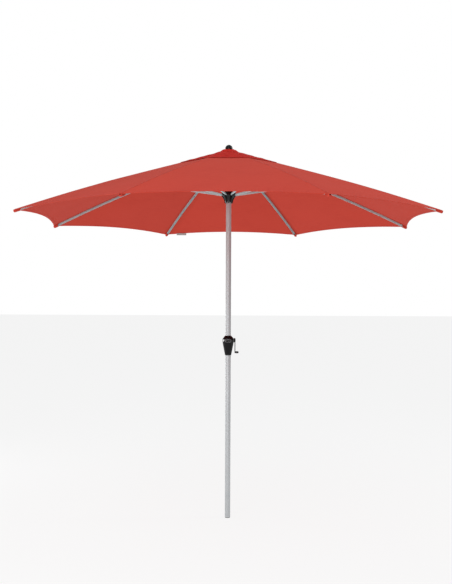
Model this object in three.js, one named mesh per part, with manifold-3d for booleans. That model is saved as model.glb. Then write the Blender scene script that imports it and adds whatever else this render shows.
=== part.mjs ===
// A garden parasol: an eight-rib octagonal canopy with a vent cap, on a two-piece pole.
// A crank in a housing on the pole winds a lift cord, which runs up inside the pole, over a
// pulley and down to the runner. The runner spreads the ribs through their struts.
//
// Frame: origin at the middle of the pole's foot, +Z up, front towards -Y, crank towards +X.
// Lengths are in millimetres. The parasol stands open.

import * as THREE from 'three';
import { ConvexGeometry } from 'three/addons/geometries/ConvexGeometry.js';
import { mergeVertices } from 'three/addons/utils/BufferGeometryUtils.js';
import Module from 'manifold-3d';

const wasm = await Module();
wasm.setup();

// ---- Driving dimensions ----

const RIB_COUNT = 8;
const RIB_PITCH = (2 * Math.PI) / RIB_COUNT;
const TIP_RADIUS = 1500; // pole axis to a rib's tip
const APEX_Z = 2623; // where a rib's straight chord would meet the pole axis
const TIP_Z = 2132; // fabric at a rib's tip
const RIB_BOW = 16; // how far a rib arches above its chord
const HEM_RISE = 58; // how far the hem is cut back half way between two ribs
const VENT_RADIUS = 364; // pole axis to a corner of the vent cap
const VENT_RISE = 10; // how far the vent cap's edge is cut back between its corners
const FABRIC = 1.5;
const GAP = 0.4; // between pieces that touch
const ROUND = 24; // sides of the pole and of what is turned about it
const RIB_STEPS = 6; // straight lengths that follow a rib's arch

const POLE_R = 19;
const POLE_WALL = 1.5;
const POLE_BORE = POLE_R - POLE_WALL;
const POLE_JOINT_Z = 1214; // where the lower and the upper pole meet, inside the crank housing
const POLE_TOP_Z = 2604;
const SPIGOT_LENGTH = 38; // of the upper pole, inside the lower one
const FOOT_RIM = 3; // the foot plug's rim, under the pole's end
const PIN_CLEARANCE = 0.3; // round a pin or a shaft in its hole

const HUB_PIVOT = { r: 38, z: 2596 }; // rib pivot on the top hub
const RUNNER_PIVOT = { r: 45, z: 2303 }; // strut pivot on the runner
const STRUT_PIVOT_R = 615; // radius of the pivot between a rib and its strut
const STRUT_PIVOT_DROP = 27; // that pivot's depth under the fabric

const RIB_WIDTH = 12;
const RIB_HEIGHT = 15;
const RIB_WALL = 2;
const RIB_END_R = 1486;
const STRUT_WIDTH = 10;
const EYE_R = 7.5; // rounded inner end of a rib

const CRANK_Z = 1266;
const CRANK_ARM = 86; // crank axis to grip axis
const SHAFT_R = 4;
const SHAFT_HOLE_R = SHAFT_R + 2 * PIN_CLEARANCE;
const GRIP_PIN_R = 2.9;
const PULLEY_Z = 2560;
const PULLEY_Y = 15;
const PULLEY_PIN_R = 2;
const PULLEY_SLOT = { halfWidth: 5.5, halfHeight: 16, fromY: 8 }; // in the pole's wall
const CORD_R = 2;
const CORD_ON_PULLEY_R = 11;

// ---- Finishes ----

const finish = (colour, roughness, metalness) =>
  new THREE.MeshStandardMaterial({ color: colour, roughness, metalness });
const CANOPY = finish(0xb8483c, 0.85, 0);
const CROWN = finish(0x9c2f2a, 0.85, 0);
const ALUMINIUM = finish(0xb9bcbd, 0.35, 1);
const STEEL = finish(0x8f9193, 0.3, 1);
const BLACK = finish(0x161617, 0.4, 0);
const CORD = finish(0xd8d5cc, 0.8, 0);
const WEBBING = finish(0x9a9d9c, 0.8, 0);

// ---- Working with solids ----

// A closed BufferGeometry as a solid for cutting and joining.
function solid(geometry) {
  const bare = new THREE.BufferGeometry();
  bare.setAttribute('position', geometry.getAttribute('position').clone());
  bare.setIndex(geometry.index);
  const merged = mergeVertices(bare, 1e-4);
  const corners = [];
  for (let i = 0; i < merged.index.count; i += 3) {
    const [a, b, c] = [0, 1, 2].map((k) => merged.index.getX(i + k));
    if (a !== b && b !== c && c !== a) corners.push(a, b, c);
  }
  return new wasm.Manifold(new wasm.Mesh({
    numProp: 3,
    vertProperties: new Float32Array(merged.attributes.position.array),
    triVerts: new Uint32Array(corners),
  }));
}

// A solid as a BufferGeometry.
function geometryOf(body) {
  const mesh = body.getMesh();
  const geometry = new THREE.BufferGeometry();
  geometry.setAttribute('position', new THREE.BufferAttribute(mesh.vertProperties, 3));
  geometry.setIndex(new THREE.BufferAttribute(mesh.triVerts, 1));
  return geometry;
}

const join = (...parts) => parts.map(solidIfNeeded).reduce((sum, part) => sum.add(part));
const cut = (body, ...tools) =>
  tools.map(solidIfNeeded).reduce((rest, tool) => rest.subtract(tool), solidIfNeeded(body));

function solidIfNeeded(item) {
  return item.isBufferGeometry ? solid(item) : item;
}

// ---- Basic shapes ----

// A turned piece about the Z axis from [radius, height] points, anticlockwise round the section.
function turned(points, segments) {
  const outline = points.map(([r, z]) => new THREE.Vector2(r, z));
  return new THREE.LatheGeometry(outline, segments).rotateX(Math.PI / 2);
}

// A turned ring, whose section closes on itself.
const turnedRing = (points, segments) => turned([...points, points[0]], segments);

// The same about the X axis through (0, y, z): each point is [radius, x].
function turnedAboutX(points, segments, y, z, closed = true) {
  const make = closed ? turnedRing : turned;
  return make(points, segments).rotateY(Math.PI / 2).translate(0, y, z);
}

// An outline in the (radius, height) plane, given a width across that plane.
function slab(outline, width, offset = 0) {
  const geometry = new THREE.ExtrudeGeometry(outline, {
    depth: width, steps: 1, bevelEnabled: false, curveSegments: 4,
  });
  return geometry.translate(0, 0, -width / 2).rotateX(Math.PI / 2).translate(0, offset, 0);
}

function rodX(radius, x0, x1, y, z, segments = 16) {
  const rod = new THREE.CylinderGeometry(radius, radius, x1 - x0, segments);
  return rod.rotateZ(Math.PI / 2).translate((x0 + x1) / 2, y, z);
}

function rodY(radius, width, x, z, segments = 8) {
  return new THREE.CylinderGeometry(radius, radius, width, segments).translate(x, 0, z);
}

function block(x0, x1, y0, y1, z0, z1) {
  const box = new THREE.BoxGeometry(x1 - x0, y1 - y0, z1 - z0);
  return box.translate((x0 + x1) / 2, (y0 + y1) / 2, (z0 + z1) / 2);
}

// A round tube along a curve, with closed ends.
function cordAlong(curve, steps) {
  const section = new THREE.Shape().absarc(0, 0, CORD_R, 0, 2 * Math.PI);
  return new THREE.ExtrudeGeometry(section, {
    extrudePath: curve, steps, curveSegments: 4, bevelEnabled: false,
  });
}

// ---- The line of a rib ----

const ARCH_SKEW = 1.4; // moves the top of the arch towards the tip

// Height of the fabric over a rib, at a radius from the pole axis.
function ridgeZ(r) {
  const t = r / TIP_RADIUS;
  return APEX_Z + (TIP_Z - APEX_Z) * t + RIB_BOW * Math.sin(Math.PI * t ** ARCH_SKEW);
}

const RIB_CLEARANCE = 1.4; // slack between the fabric and the ribs under it
const ribTopZ = (r) => ridgeZ(r) - FABRIC - RIB_CLEARANCE;
const STRUT_PIVOT = { r: STRUT_PIVOT_R, z: ridgeZ(STRUT_PIVOT_R) - STRUT_PIVOT_DROP };
const azimuth = (i) => -Math.PI / 2 + RIB_PITCH / 2 + i * RIB_PITCH;

// An outline that follows the rib's arch between two radii.
function archedOutline(r0, r1, topDrop, bottomDrop, steps) {
  const radii = Array.from({ length: steps + 1 }, (_, i) => r0 + ((r1 - r0) * i) / steps);
  const along = radii.map((r) => new THREE.Vector2(r, ribTopZ(r) - topDrop));
  const back = radii.map((r) => new THREE.Vector2(r, ribTopZ(r) - bottomDrop)).reverse();
  return new THREE.Shape([...along, ...back]);
}

// ---- Rib, strut and rib tip, drawn in the plane of a rib at azimuth 0 ----

const RAIL_START_R = 62; // where the rib's eye turns into its rail
const CHANNEL_START_R = 84; // the rail is an open channel from here outwards
const CHEEK = 2.5; // thickness of the two cheeks that carry the strut

function ribGeometry() {
  const rail = archedOutline(RAIL_START_R, RIB_END_R, 0, RIB_HEIGHT, RIB_STEPS);
  const channel = archedOutline(CHANNEL_START_R, RIB_END_R + 1,
    RIB_WALL, RIB_HEIGHT + 2, RIB_STEPS);
  const wire = rodY(2.4, RIB_WIDTH + 4, HUB_PIVOT.r, HUB_PIVOT.z);
  const bar = cut(join(slab(rail, RIB_WIDTH), slab(eyeOutline(), RIB_WIDTH)),
    slab(channel, RIB_WIDTH - 2 * RIB_WALL), wire);
  const cheekY = STRUT_WIDTH / 2 + 0.5 + CHEEK / 2;
  return geometryOf(join(bar,
    slab(cheekOutline(), CHEEK, cheekY), slab(cheekOutline(), CHEEK, -cheekY)));
}

// The rib's inner end: an eye round the hub's wire, running into the rail.
function eyeOutline() {
  const { r, z } = HUB_PIVOT;
  const outline = new THREE.Shape();
  outline.absarc(r, z, EYE_R, -Math.PI / 2, Math.PI / 2, true);
  outline.lineTo(RAIL_START_R + 2, ribTopZ(RAIL_START_R + 2));
  outline.lineTo(RAIL_START_R + 2, ribTopZ(RAIL_START_R + 2) - RIB_HEIGHT);
  return outline;
}

function cheekOutline() {
  const { r, z } = STRUT_PIVOT;
  const outline = new THREE.Shape();
  outline.absarc(r, z, 9, -Math.PI, 0, false);
  outline.lineTo(r + 13, ribTopZ(r + 13) - 4);
  outline.lineTo(r - 13, ribTopZ(r - 13) - 4);
  return outline;
}

function ribTipGeometry() {
  const spigot = archedOutline(RIB_END_R - 16, RIB_END_R + 1,
    RIB_WALL + GAP, RIB_HEIGHT - 0.6, 1);
  const cap = archedOutline(RIB_END_R + GAP, RIB_END_R + 8, 0, RIB_HEIGHT, 1);
  const nose = archedOutline(RIB_END_R + 7, RIB_END_R + 11, 3, RIB_HEIGHT - 3, 1);
  return geometryOf(join(slab(spigot, RIB_WIDTH - 2 * RIB_WALL - 0.8),
    slab(cap, RIB_WIDTH), slab(nose, RIB_WIDTH - 6)));
}

function strutGeometry() {
  const dr = STRUT_PIVOT.r - RUNNER_PIVOT.r;
  const dz = STRUT_PIVOT.z - RUNNER_PIVOT.z;
  const length = Math.hypot(dr, dz);
  const innerEye = 6;
  const outerEye = 7.2;
  const outline = new THREE.Shape();
  outline.absarc(0, 0, innerEye, Math.PI / 2, -Math.PI / 2, false);
  outline.absarc(length, 0, outerEye, -Math.PI / 2, Math.PI / 2, false);
  const trough = new THREE.Shape();
  const solidEnd = 25;
  trough.moveTo(solidEnd, 1.5 - innerEye);
  trough.lineTo(length - solidEnd, 1.5 - outerEye);
  trough.lineTo(length - solidEnd, 2 * outerEye);
  trough.lineTo(solidEnd, 2 * outerEye);
  const bar = cut(slab(outline, STRUT_WIDTH), slab(trough, STRUT_WIDTH - 3));
  return geometryOf(bar)
    .rotateY(-Math.atan2(dz, dr))
    .translate(RUNNER_PIVOT.r, 0, RUNNER_PIVOT.z);
}

// ---- Fabric ----

// A closed sheet over a grid: place(s, side) gives [x, y, z] of its upper face, with s from
// 0 at the inner edge to 1 at the hem, and side from -1 to 1 across the rib.
function sheet(place, alongSteps, sideSteps) {
  const rows = alongSteps + 1;
  const columns = sideSteps + 1;
  const positions = [];
  for (const drop of [0, FABRIC]) {
    for (let i = 0; i < rows; i++) {
      for (let j = 0; j < columns; j++) {
        const [x, y, z] = place(i / alongSteps, (2 * j) / sideSteps - 1);
        positions.push(x, y, z - drop);
      }
    }
  }
  const top = (i, j) => i * columns + j;
  const under = rows * columns;
  const index = [];
  const quad = (a, b, c, d) => index.push(a, b, c, a, c, d);
  for (let i = 0; i < alongSteps; i++) {
    for (let j = 0; j < sideSteps; j++) {
      const [a, b, c, d] = [top(i, j), top(i + 1, j), top(i + 1, j + 1), top(i, j + 1)];
      quad(a, b, c, d);
      quad(d + under, c + under, b + under, a + under);
    }
  }
  const edge = (p, q) => quad(p, p + under, q + under, q);
  for (let i = 0; i < alongSteps; i++) {
    edge(top(i, 0), top(i + 1, 0));
    edge(top(i + 1, sideSteps), top(i, sideSteps));
  }
  for (let j = 0; j < sideSteps; j++) {
    edge(top(alongSteps, j), top(alongSteps, j + 1));
    edge(top(0, j + 1), top(0, j));
  }
  const geometry = new THREE.BufferGeometry();
  geometry.setAttribute('position', new THREE.Float32BufferAttribute(positions, 3));
  geometry.setIndex(index);
  return geometry;
}

const SECTION_GAP = 0.25; // each section stops this far short of the middle of its panel

// A point on the flat strip between a rib and the middle of the panel beside it.
function panelPoint(r, side, z) {
  const half = RIB_PITCH / 2;
  const across = Math.abs(side);
  const x = r * (1 - across * Math.sin(half) ** 2);
  const y = r * side * Math.sin(half) * Math.cos(half) - side * SECTION_GAP;
  return [x, y, z];
}

// 0 at a rib's corner, 1 half way to the next rib, along the curve of a cut-back hem.
const hemCurve = (side) => 1 - (1 - Math.abs(side)) ** 2;

const CANOPY_START_R = 240; // the open vent is inside this
const PANEL_SAG = 8; // the middle of a panel hangs this far below the straight line

function canopyGeometry() {
  return sheet((s, side) => {
    const hem = TIP_RADIUS - HEM_RISE * hemCurve(side);
    const r = CANOPY_START_R + (hem - CANOPY_START_R) * s;
    const sag = PANEL_SAG * Math.sin(Math.PI * s) * Math.sin((Math.PI / 2) * Math.abs(side));
    return panelPoint(r, side, ridgeZ(r) - sag);
  }, 7, 6);
}

const VENT_START_R = 83;
const VENT_LIFT = 4; // height over the canopy at the crown; it doubles at the corners

function ventGeometry() {
  return sheet((s, side) => {
    const hem = VENT_RADIUS - VENT_RISE * hemCurve(side);
    const r = VENT_START_R + (hem - VENT_START_R) * s;
    const lift = VENT_LIFT * (1 + s * (1 - Math.abs(side)));
    return panelPoint(r, side, ridgeZ(r) + lift);
  }, 3, 4);
}

const CROWN_Z = 2622.5;
const CROWN_HOLE = 8.5;

function crownGeometry() {
  const under = CROWN_Z - FABRIC;
  return turnedRing([
    [CROWN_HOLE, under], [46.8, under], [73.5, 2601],
    [74.6, 2602], [48, CROWN_Z], [CROWN_HOLE, CROWN_Z],
  ], ROUND);
}

// A spare length of closing strap, folded up and hanging under the hem beside rib 5.
const STRAP = { x: -436, length: 84, depth: 17, thickness: 4, y: 1354, top: 2140.4 };

function strapGeometry() {
  const { x, length, depth, thickness, y, top } = STRAP;
  return block(x - length / 2, x + length / 2,
    y - thickness / 2, y + thickness / 2, top - depth, top);
}

// ---- Pole and what it carries ----

function poleLowerGeometry() {
  return turnedRing([
    [POLE_BORE, FOOT_RIM + GAP], [POLE_R, FOOT_RIM + GAP],
    [POLE_R, POLE_JOINT_Z], [POLE_BORE, POLE_JOINT_Z],
  ], ROUND);
}

function poleUpperGeometry() {
  const bottom = POLE_JOINT_Z + GAP;
  const spigotR = POLE_BORE - GAP;
  const spigotBore = spigotR - POLE_WALL;
  const spigotBottom = POLE_JOINT_Z - SPIGOT_LENGTH;
  const tube = turnedRing([
    [spigotBore, spigotBottom], [spigotR, spigotBottom], [spigotR, bottom],
    [POLE_R, bottom], [POLE_R, POLE_TOP_Z], [POLE_BORE, POLE_TOP_Z],
    [POLE_BORE, bottom + 6], [spigotBore, bottom + 4],
  ], ROUND);
  const shaftHoles = rodX(SHAFT_HOLE_R, -POLE_R - 2, POLE_R + 2, 0, CRANK_Z);
  const { halfWidth, halfHeight, fromY } = PULLEY_SLOT;
  const pulleySlot = block(-halfWidth, halfWidth, fromY, POLE_R + 6,
    PULLEY_Z - halfHeight, PULLEY_Z + halfHeight);
  const pinHoles = rodX(PULLEY_PIN_R + PIN_CLEARANCE, -POLE_R, POLE_R, PULLEY_Y, PULLEY_Z, 10);
  return geometryOf(cut(tube, shaftHoles, pulleySlot, pinHoles));
}

function footPlugGeometry() {
  const rimR = POLE_R - 0.2;
  const plugR = POLE_BORE - GAP;
  const plugTop = 28;
  return turned([
    [0, 0], [rimR - 1.8, 0], [rimR, FOOT_RIM / 2], [rimR, FOOT_RIM],
    [plugR, FOOT_RIM], [plugR, plugTop], [0, plugTop],
  ], ROUND);
}

function topHubGeometry() {
  const bottom = HUB_PIVOT.z - 16;
  const top = HUB_PIVOT.z + 18;
  const roof = POLE_TOP_Z + GAP;
  const body = turnedRing([
    [8, roof], [POLE_R + 0.3, roof], [POLE_R + 0.3, bottom],
    [44, bottom], [46, bottom + 3], [46, top - 3], [43, top], [8, top],
  ], ROUND);
  const slots = spokes(() => block(28.5, 60, -6.5, 6.5, bottom - 1, HUB_PIVOT.z + 11));
  const wireGroove = hubWire(1.9);
  return geometryOf(cut(body, ...slots, wireGroove));
}

// The ring of wire that threads the eyes of all the ribs.
function hubWire(radius) {
  const ring = new THREE.TorusGeometry(HUB_PIVOT.r, radius, 6, 32);
  return ring.translate(0, 0, HUB_PIVOT.z);
}

// The same tool once at each rib's azimuth.
const spokes = (make) =>
  Array.from({ length: RIB_COUNT }, (_, i) => make().rotateZ(azimuth(i)));

function finialGeometry() {
  const seat = CROWN_Z + GAP;
  const ball = { z: 2635.4, r: 26.6 };
  const seatR = Math.sqrt(ball.r ** 2 - (ball.z - seat) ** 2);
  const points = [[0, 2609], [7.5, 2609], [7.5, seat]];
  const start = Math.atan2(seat - ball.z, seatR);
  const steps = 6;
  for (let i = 0; i < steps; i++) {
    const angle = start + ((Math.PI / 2 - start) * i) / steps;
    points.push([ball.r * Math.cos(angle), ball.z + ball.r * Math.sin(angle)]);
  }
  points.push([0, ball.z + ball.r]);
  return turned(points, ROUND);
}

function pulleyGeometry() {
  const rim = 13.5;
  const groove = CORD_ON_PULLEY_R - CORD_R - GAP;
  return turnedAboutX([
    [2.4, -4], [rim, -4], [rim, -3], [groove, -2.6],
    [groove, 2.6], [rim, 3], [rim, 4], [2.4, 4],
  ], 20, PULLEY_Y, PULLEY_Z);
}

const pulleyPinGeometry = () => rodX(PULLEY_PIN_R, -11, 11, PULLEY_Y, PULLEY_Z, 10);

const SPOOL_DRUM_R = 9.4;

// The cord inside the pole, from the spool up and over the pulley.
function innerCordGeometry() {
  const foot = new THREE.Vector3(0, SPOOL_DRUM_R + GAP + CORD_R, CRANK_Z);
  const head = new THREE.Vector3(0, PULLEY_Y - CORD_ON_PULLEY_R, PULLEY_Z);
  const rise = cordAlong(new THREE.LineCurve3(foot, head), 1);
  const over = cordAlong(new PulleyArc(), 10);
  return geometryOf(join(rise, over));
}

// The cord's half turn over the pulley, from the pole's inside to its outside.
class PulleyArc extends THREE.Curve {
  getPoint(t, target = new THREE.Vector3()) {
    const angle = Math.PI * (1 - t);
    const y = PULLEY_Y + CORD_ON_PULLEY_R * Math.cos(angle);
    return target.set(0, y, PULLEY_Z + CORD_ON_PULLEY_R * Math.sin(angle));
  }
}

function outerCordGeometry() {
  const y = PULLEY_Y + CORD_ON_PULLEY_R;
  const top = new THREE.Vector3(0, y, PULLEY_Z - GAP);
  const bottom = new THREE.Vector3(0, y, RUNNER_TOP_Z + GAP);
  return cordAlong(new THREE.LineCurve3(top, bottom), 1);
}

// ---- Runner ----

const RUNNER_TOP_Z = RUNNER_PIVOT.z + 29;
const RUNNER_NECK_Z = RUNNER_PIVOT.z + 19;
const RUNNER_FOOT_Z = RUNNER_PIVOT.z - 60;
const STRUT_SLOT = STRUT_WIDTH + 4;

// A sleeve on the pole with eight fins. The struts' ends swing in the slots between the fins.
function runnerGeometry() {
  const sleeveR = 24.5;
  const body = turnedRing([
    [POLE_R + 0.6, RUNNER_FOOT_Z + 11], [sleeveR, RUNNER_FOOT_Z + 11],
    [sleeveR, RUNNER_FOOT_Z], [28, RUNNER_FOOT_Z],
    [33, RUNNER_FOOT_Z + 24], [40, RUNNER_FOOT_Z + 37], [51.5, RUNNER_FOOT_Z + 53],
    [51.5, RUNNER_NECK_Z - 6], [46, RUNNER_NECK_Z], [28, RUNNER_NECK_Z],
    [28, RUNNER_TOP_Z], [POLE_R + 0.6, RUNNER_TOP_Z],
  ], ROUND);
  const half = STRUT_SLOT / 2;
  const slots = spokes(() =>
    block(24, 60, -half, half, RUNNER_FOOT_Z - 1, RUNNER_NECK_Z + 0.5));
  return geometryOf(cut(body, ...slots));
}

// ---- Crank and its housing ----

// Half width, half depth and half width of the front facet of the housing, at each height.
const HOUSING = [
  { z: 1159, width: 22, depth: 22, facet: 8.5 },
  { z: 1250, width: 39.5, depth: 36, facet: 24 },
  { z: 1277, width: 39.5, depth: 36, facet: 24 },
  { z: 1299, width: 21.5, depth: 21.5, facet: 9 },
];

function housingBody() {
  const corners = [];
  for (const { z, width, depth, facet } of HOUSING) {
    const shoulder = 0.42 * depth;
    for (const x of [-1, 1]) {
      for (const y of [-1, 1]) {
        corners.push(new THREE.Vector3(x * facet, y * depth, z));
        corners.push(new THREE.Vector3(x * width, y * shoulder, z));
      }
    }
  }
  const bore = new THREE.CylinderGeometry(POLE_R + 0.3, POLE_R + 0.3, 400, ROUND);
  const cavity = turnedRing([[18, 1248], [30, 1252], [30, 1278], [18, 1286]], ROUND);
  return cut(new ConvexGeometry(corners),
    bore.rotateX(Math.PI / 2).translate(0, 0, CRANK_Z),
    cavity, rodX(SHAFT_HOLE_R, -36, 60, 0, CRANK_Z));
}

// One half of the housing: side is -1 for the front shell and 1 for the back shell.
function housingShell(side) {
  const reach = 100;
  const keep = block(-reach, reach, 0.2, reach, CRANK_Z - 2 * reach, CRANK_Z + 2 * reach);
  const shell = solid(side > 0 ? keep : keep.rotateZ(Math.PI));
  return geometryOf(housingBody().intersect(shell));
}

const crankShaftGeometry = () => rodX(SHAFT_R, -35, 49.6, 0, CRANK_Z);

function spoolGeometry() {
  const bore = SHAFT_R + PIN_CLEARANCE;
  const flangeR = 14;
  return turnedAboutX([
    [bore, -9], [flangeR, -9], [flangeR, -7.5], [SPOOL_DRUM_R, -7.5],
    [SPOOL_DRUM_R, 7.5], [flangeR, 7.5], [flangeR, 9], [bore, 9],
  ], 20, 0, CRANK_Z);
}

const ARM = { x0: 47, x1: 51, topWidth: 18, endWidth: 12 };

function crankArmGeometry() {
  const gripZ = CRANK_Z - CRANK_ARM;
  const shaftR = SHAFT_R + PIN_CLEARANCE;
  const boss = turnedAboutX([
    [0, 49.9], [shaftR, 49.9], [shaftR, 40.2], [15, 40.2],
    [16, 43], [14.5, 50], [9, 53], [0, 53],
  ], 24, 0, CRANK_Z, false);
  const outline = new THREE.Shape();
  outline.absarc(gripZ, 0, ARM.endWidth / 2, Math.PI / 2, -Math.PI / 2, false);
  outline.lineTo(CRANK_Z - 8, -ARM.topWidth / 2);
  outline.lineTo(CRANK_Z - 8, ARM.topWidth / 2);
  const plate = new THREE.ExtrudeGeometry(outline, {
    depth: ARM.x1 - ARM.x0, steps: 1, bevelEnabled: false, curveSegments: 4,
  });
  plate.rotateY(-Math.PI / 2).translate(ARM.x1, 0, 0);
  const pinHole = rodX(GRIP_PIN_R + GAP, ARM.x0 - 5, ARM.x1 + 5, 0, gripZ);
  return geometryOf(cut(join(boss, plate), pinHole));
}

function crankGripGeometry() {
  const bore = GRIP_PIN_R + GAP;
  return turnedAboutX([
    [bore, 52], [6.2, 52], [7.2, 54], [7.6, 63], [7, 72], [6, 73.4], [bore, 73.4],
  ], 20, 0, CRANK_Z - CRANK_ARM);
}

function gripPinGeometry() {
  return turnedAboutX([
    [0, 46.6], [GRIP_PIN_R, 46.6], [GRIP_PIN_R, 73.8], [5, 73.8], [4.4, 75.2], [0, 75.2],
  ], 16, 0, CRANK_Z - CRANK_ARM, false);
}

// ---- Assembly ----

const parasol = new THREE.Group();

function add(name, geometry, material, parent = parasol) {
  const mesh = new THREE.Mesh(geometry, material);
  mesh.name = name;
  parent.add(mesh);
}

add('foot_plug', footPlugGeometry(), BLACK);
add('pole_lower', poleLowerGeometry(), ALUMINIUM);
add('pole_upper', poleUpperGeometry(), ALUMINIUM);
add('top_hub', topHubGeometry(), BLACK);
add('hub_ring', hubWire(1.4), STEEL);
add('crown_cap', crownGeometry(), CROWN);
add('finial', finialGeometry(), BLACK);
add('pulley', pulleyGeometry(), BLACK);
add('pulley_pin', pulleyPinGeometry(), STEEL);
add('lift_cord_inner', innerCordGeometry(), CORD);
add('lift_cord_outer', outerCordGeometry(), CORD);
add('runner', runnerGeometry(), BLACK);
add('housing_front', housingShell(-1), BLACK);
add('housing_back', housingShell(1), BLACK);
add('crank_shaft', crankShaftGeometry(), STEEL);
add('spool', spoolGeometry(), BLACK);
add('crank_arm', crankArmGeometry(), BLACK);
add('crank_grip', crankGripGeometry(), BLACK);
add('grip_pin', gripPinGeometry(), STEEL);
add('closing_strap', strapGeometry(), WEBBING);

for (let i = 0; i < RIB_COUNT; i++) {
  const spoke = new THREE.Group();
  spoke.rotation.z = azimuth(i);
  parasol.add(spoke);
  const number = i + 1;
  add(`rib_${number}`, ribGeometry(), ALUMINIUM, spoke);
  add(`rib_tip_${number}`, ribTipGeometry(), BLACK, spoke);
  add(`strut_${number}`, strutGeometry(), ALUMINIUM, spoke);
  add(`canopy_section_${number}`, canopyGeometry(), CANOPY, spoke);
  add(`vent_section_${number}`, ventGeometry(), CROWN, spoke);
}

export default parasol;
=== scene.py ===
"""Visual model of a garden parasol with a crank.

Eight panels of cloth and a vent cap lie on eight ribs. Eight struts hold the ribs up from a
runner on a two-piece aluminium pole, and a crank in a housing on the pole winds the lift cord.
Lengths are in metres, +Z is up, the front is towards -Y and the crank is on the +X side.
"""

import logging
import math
from dataclasses import dataclass
from enum import Enum
from typing import Iterable, Sequence

import bmesh
import bpy
import numpy as np
from mathutils import Matrix, Vector


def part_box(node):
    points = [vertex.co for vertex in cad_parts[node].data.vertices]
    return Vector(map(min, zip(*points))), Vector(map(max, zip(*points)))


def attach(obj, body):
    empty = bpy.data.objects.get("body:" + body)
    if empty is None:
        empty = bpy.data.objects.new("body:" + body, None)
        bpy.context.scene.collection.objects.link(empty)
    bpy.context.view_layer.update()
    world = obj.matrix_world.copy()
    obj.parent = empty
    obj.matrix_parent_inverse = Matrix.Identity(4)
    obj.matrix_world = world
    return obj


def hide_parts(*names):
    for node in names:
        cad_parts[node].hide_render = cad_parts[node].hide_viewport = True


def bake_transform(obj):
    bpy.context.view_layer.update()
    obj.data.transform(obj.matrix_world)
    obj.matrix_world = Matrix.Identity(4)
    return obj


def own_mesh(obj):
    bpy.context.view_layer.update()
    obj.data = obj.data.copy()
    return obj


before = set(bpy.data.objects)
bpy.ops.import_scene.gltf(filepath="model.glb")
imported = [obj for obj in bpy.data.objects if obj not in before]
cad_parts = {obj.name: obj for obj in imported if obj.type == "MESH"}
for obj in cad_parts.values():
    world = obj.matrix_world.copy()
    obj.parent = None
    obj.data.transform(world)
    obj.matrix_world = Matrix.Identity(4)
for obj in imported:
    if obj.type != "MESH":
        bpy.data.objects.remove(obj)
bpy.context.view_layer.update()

RIB_COUNT = 8
RIB_PITCH = math.tau / RIB_COUNT
MM = 0.001
CLOTH = 1.2 * MM  # thickness of the cloth
HEM_LAYERS = 1.8  # thickness of a pressed hem, in cloths
GAP = 0.4 * MM  # between two pieces that touch
SHARP = 32.0  # edges sharper than this, in degrees, stay crisp
SHUT_WIDTH = 0.215  # share of its width that the canopy keeps when it is folded

Point = Sequence[float]
Solid = tuple[list, list]  # vertices and faces

log = logging.getLogger("parasol")


class Slot(Enum):
    """The material slots of the part's record."""

    CANOPY = "canopy_fabric"
    CROWN = "crown_fabric"
    ALUMINIUM = "aluminium"
    STEEL = "steel"
    BLACK = "black_plastic"
    CORD = "cord"
    WEBBING = "webbing"


# ---- Finishes ----


def srgb(red: int, green: int, blue: int) -> tuple[float, float, float, float]:
    """Turns a colour from 0 to 255 into linear light.

    Args:
        red: The red share.
        green: The green share.
        blue: The blue share.

    Returns:
        Red, green, blue and an alpha of 1.
    """
    shares = [value / 255 for value in (red, green, blue)]
    linear = [s / 12.92 if s <= 0.04045 else ((s + 0.055) / 1.055) ** 2.4 for s in shares]
    return (*linear, 1.0)


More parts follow.
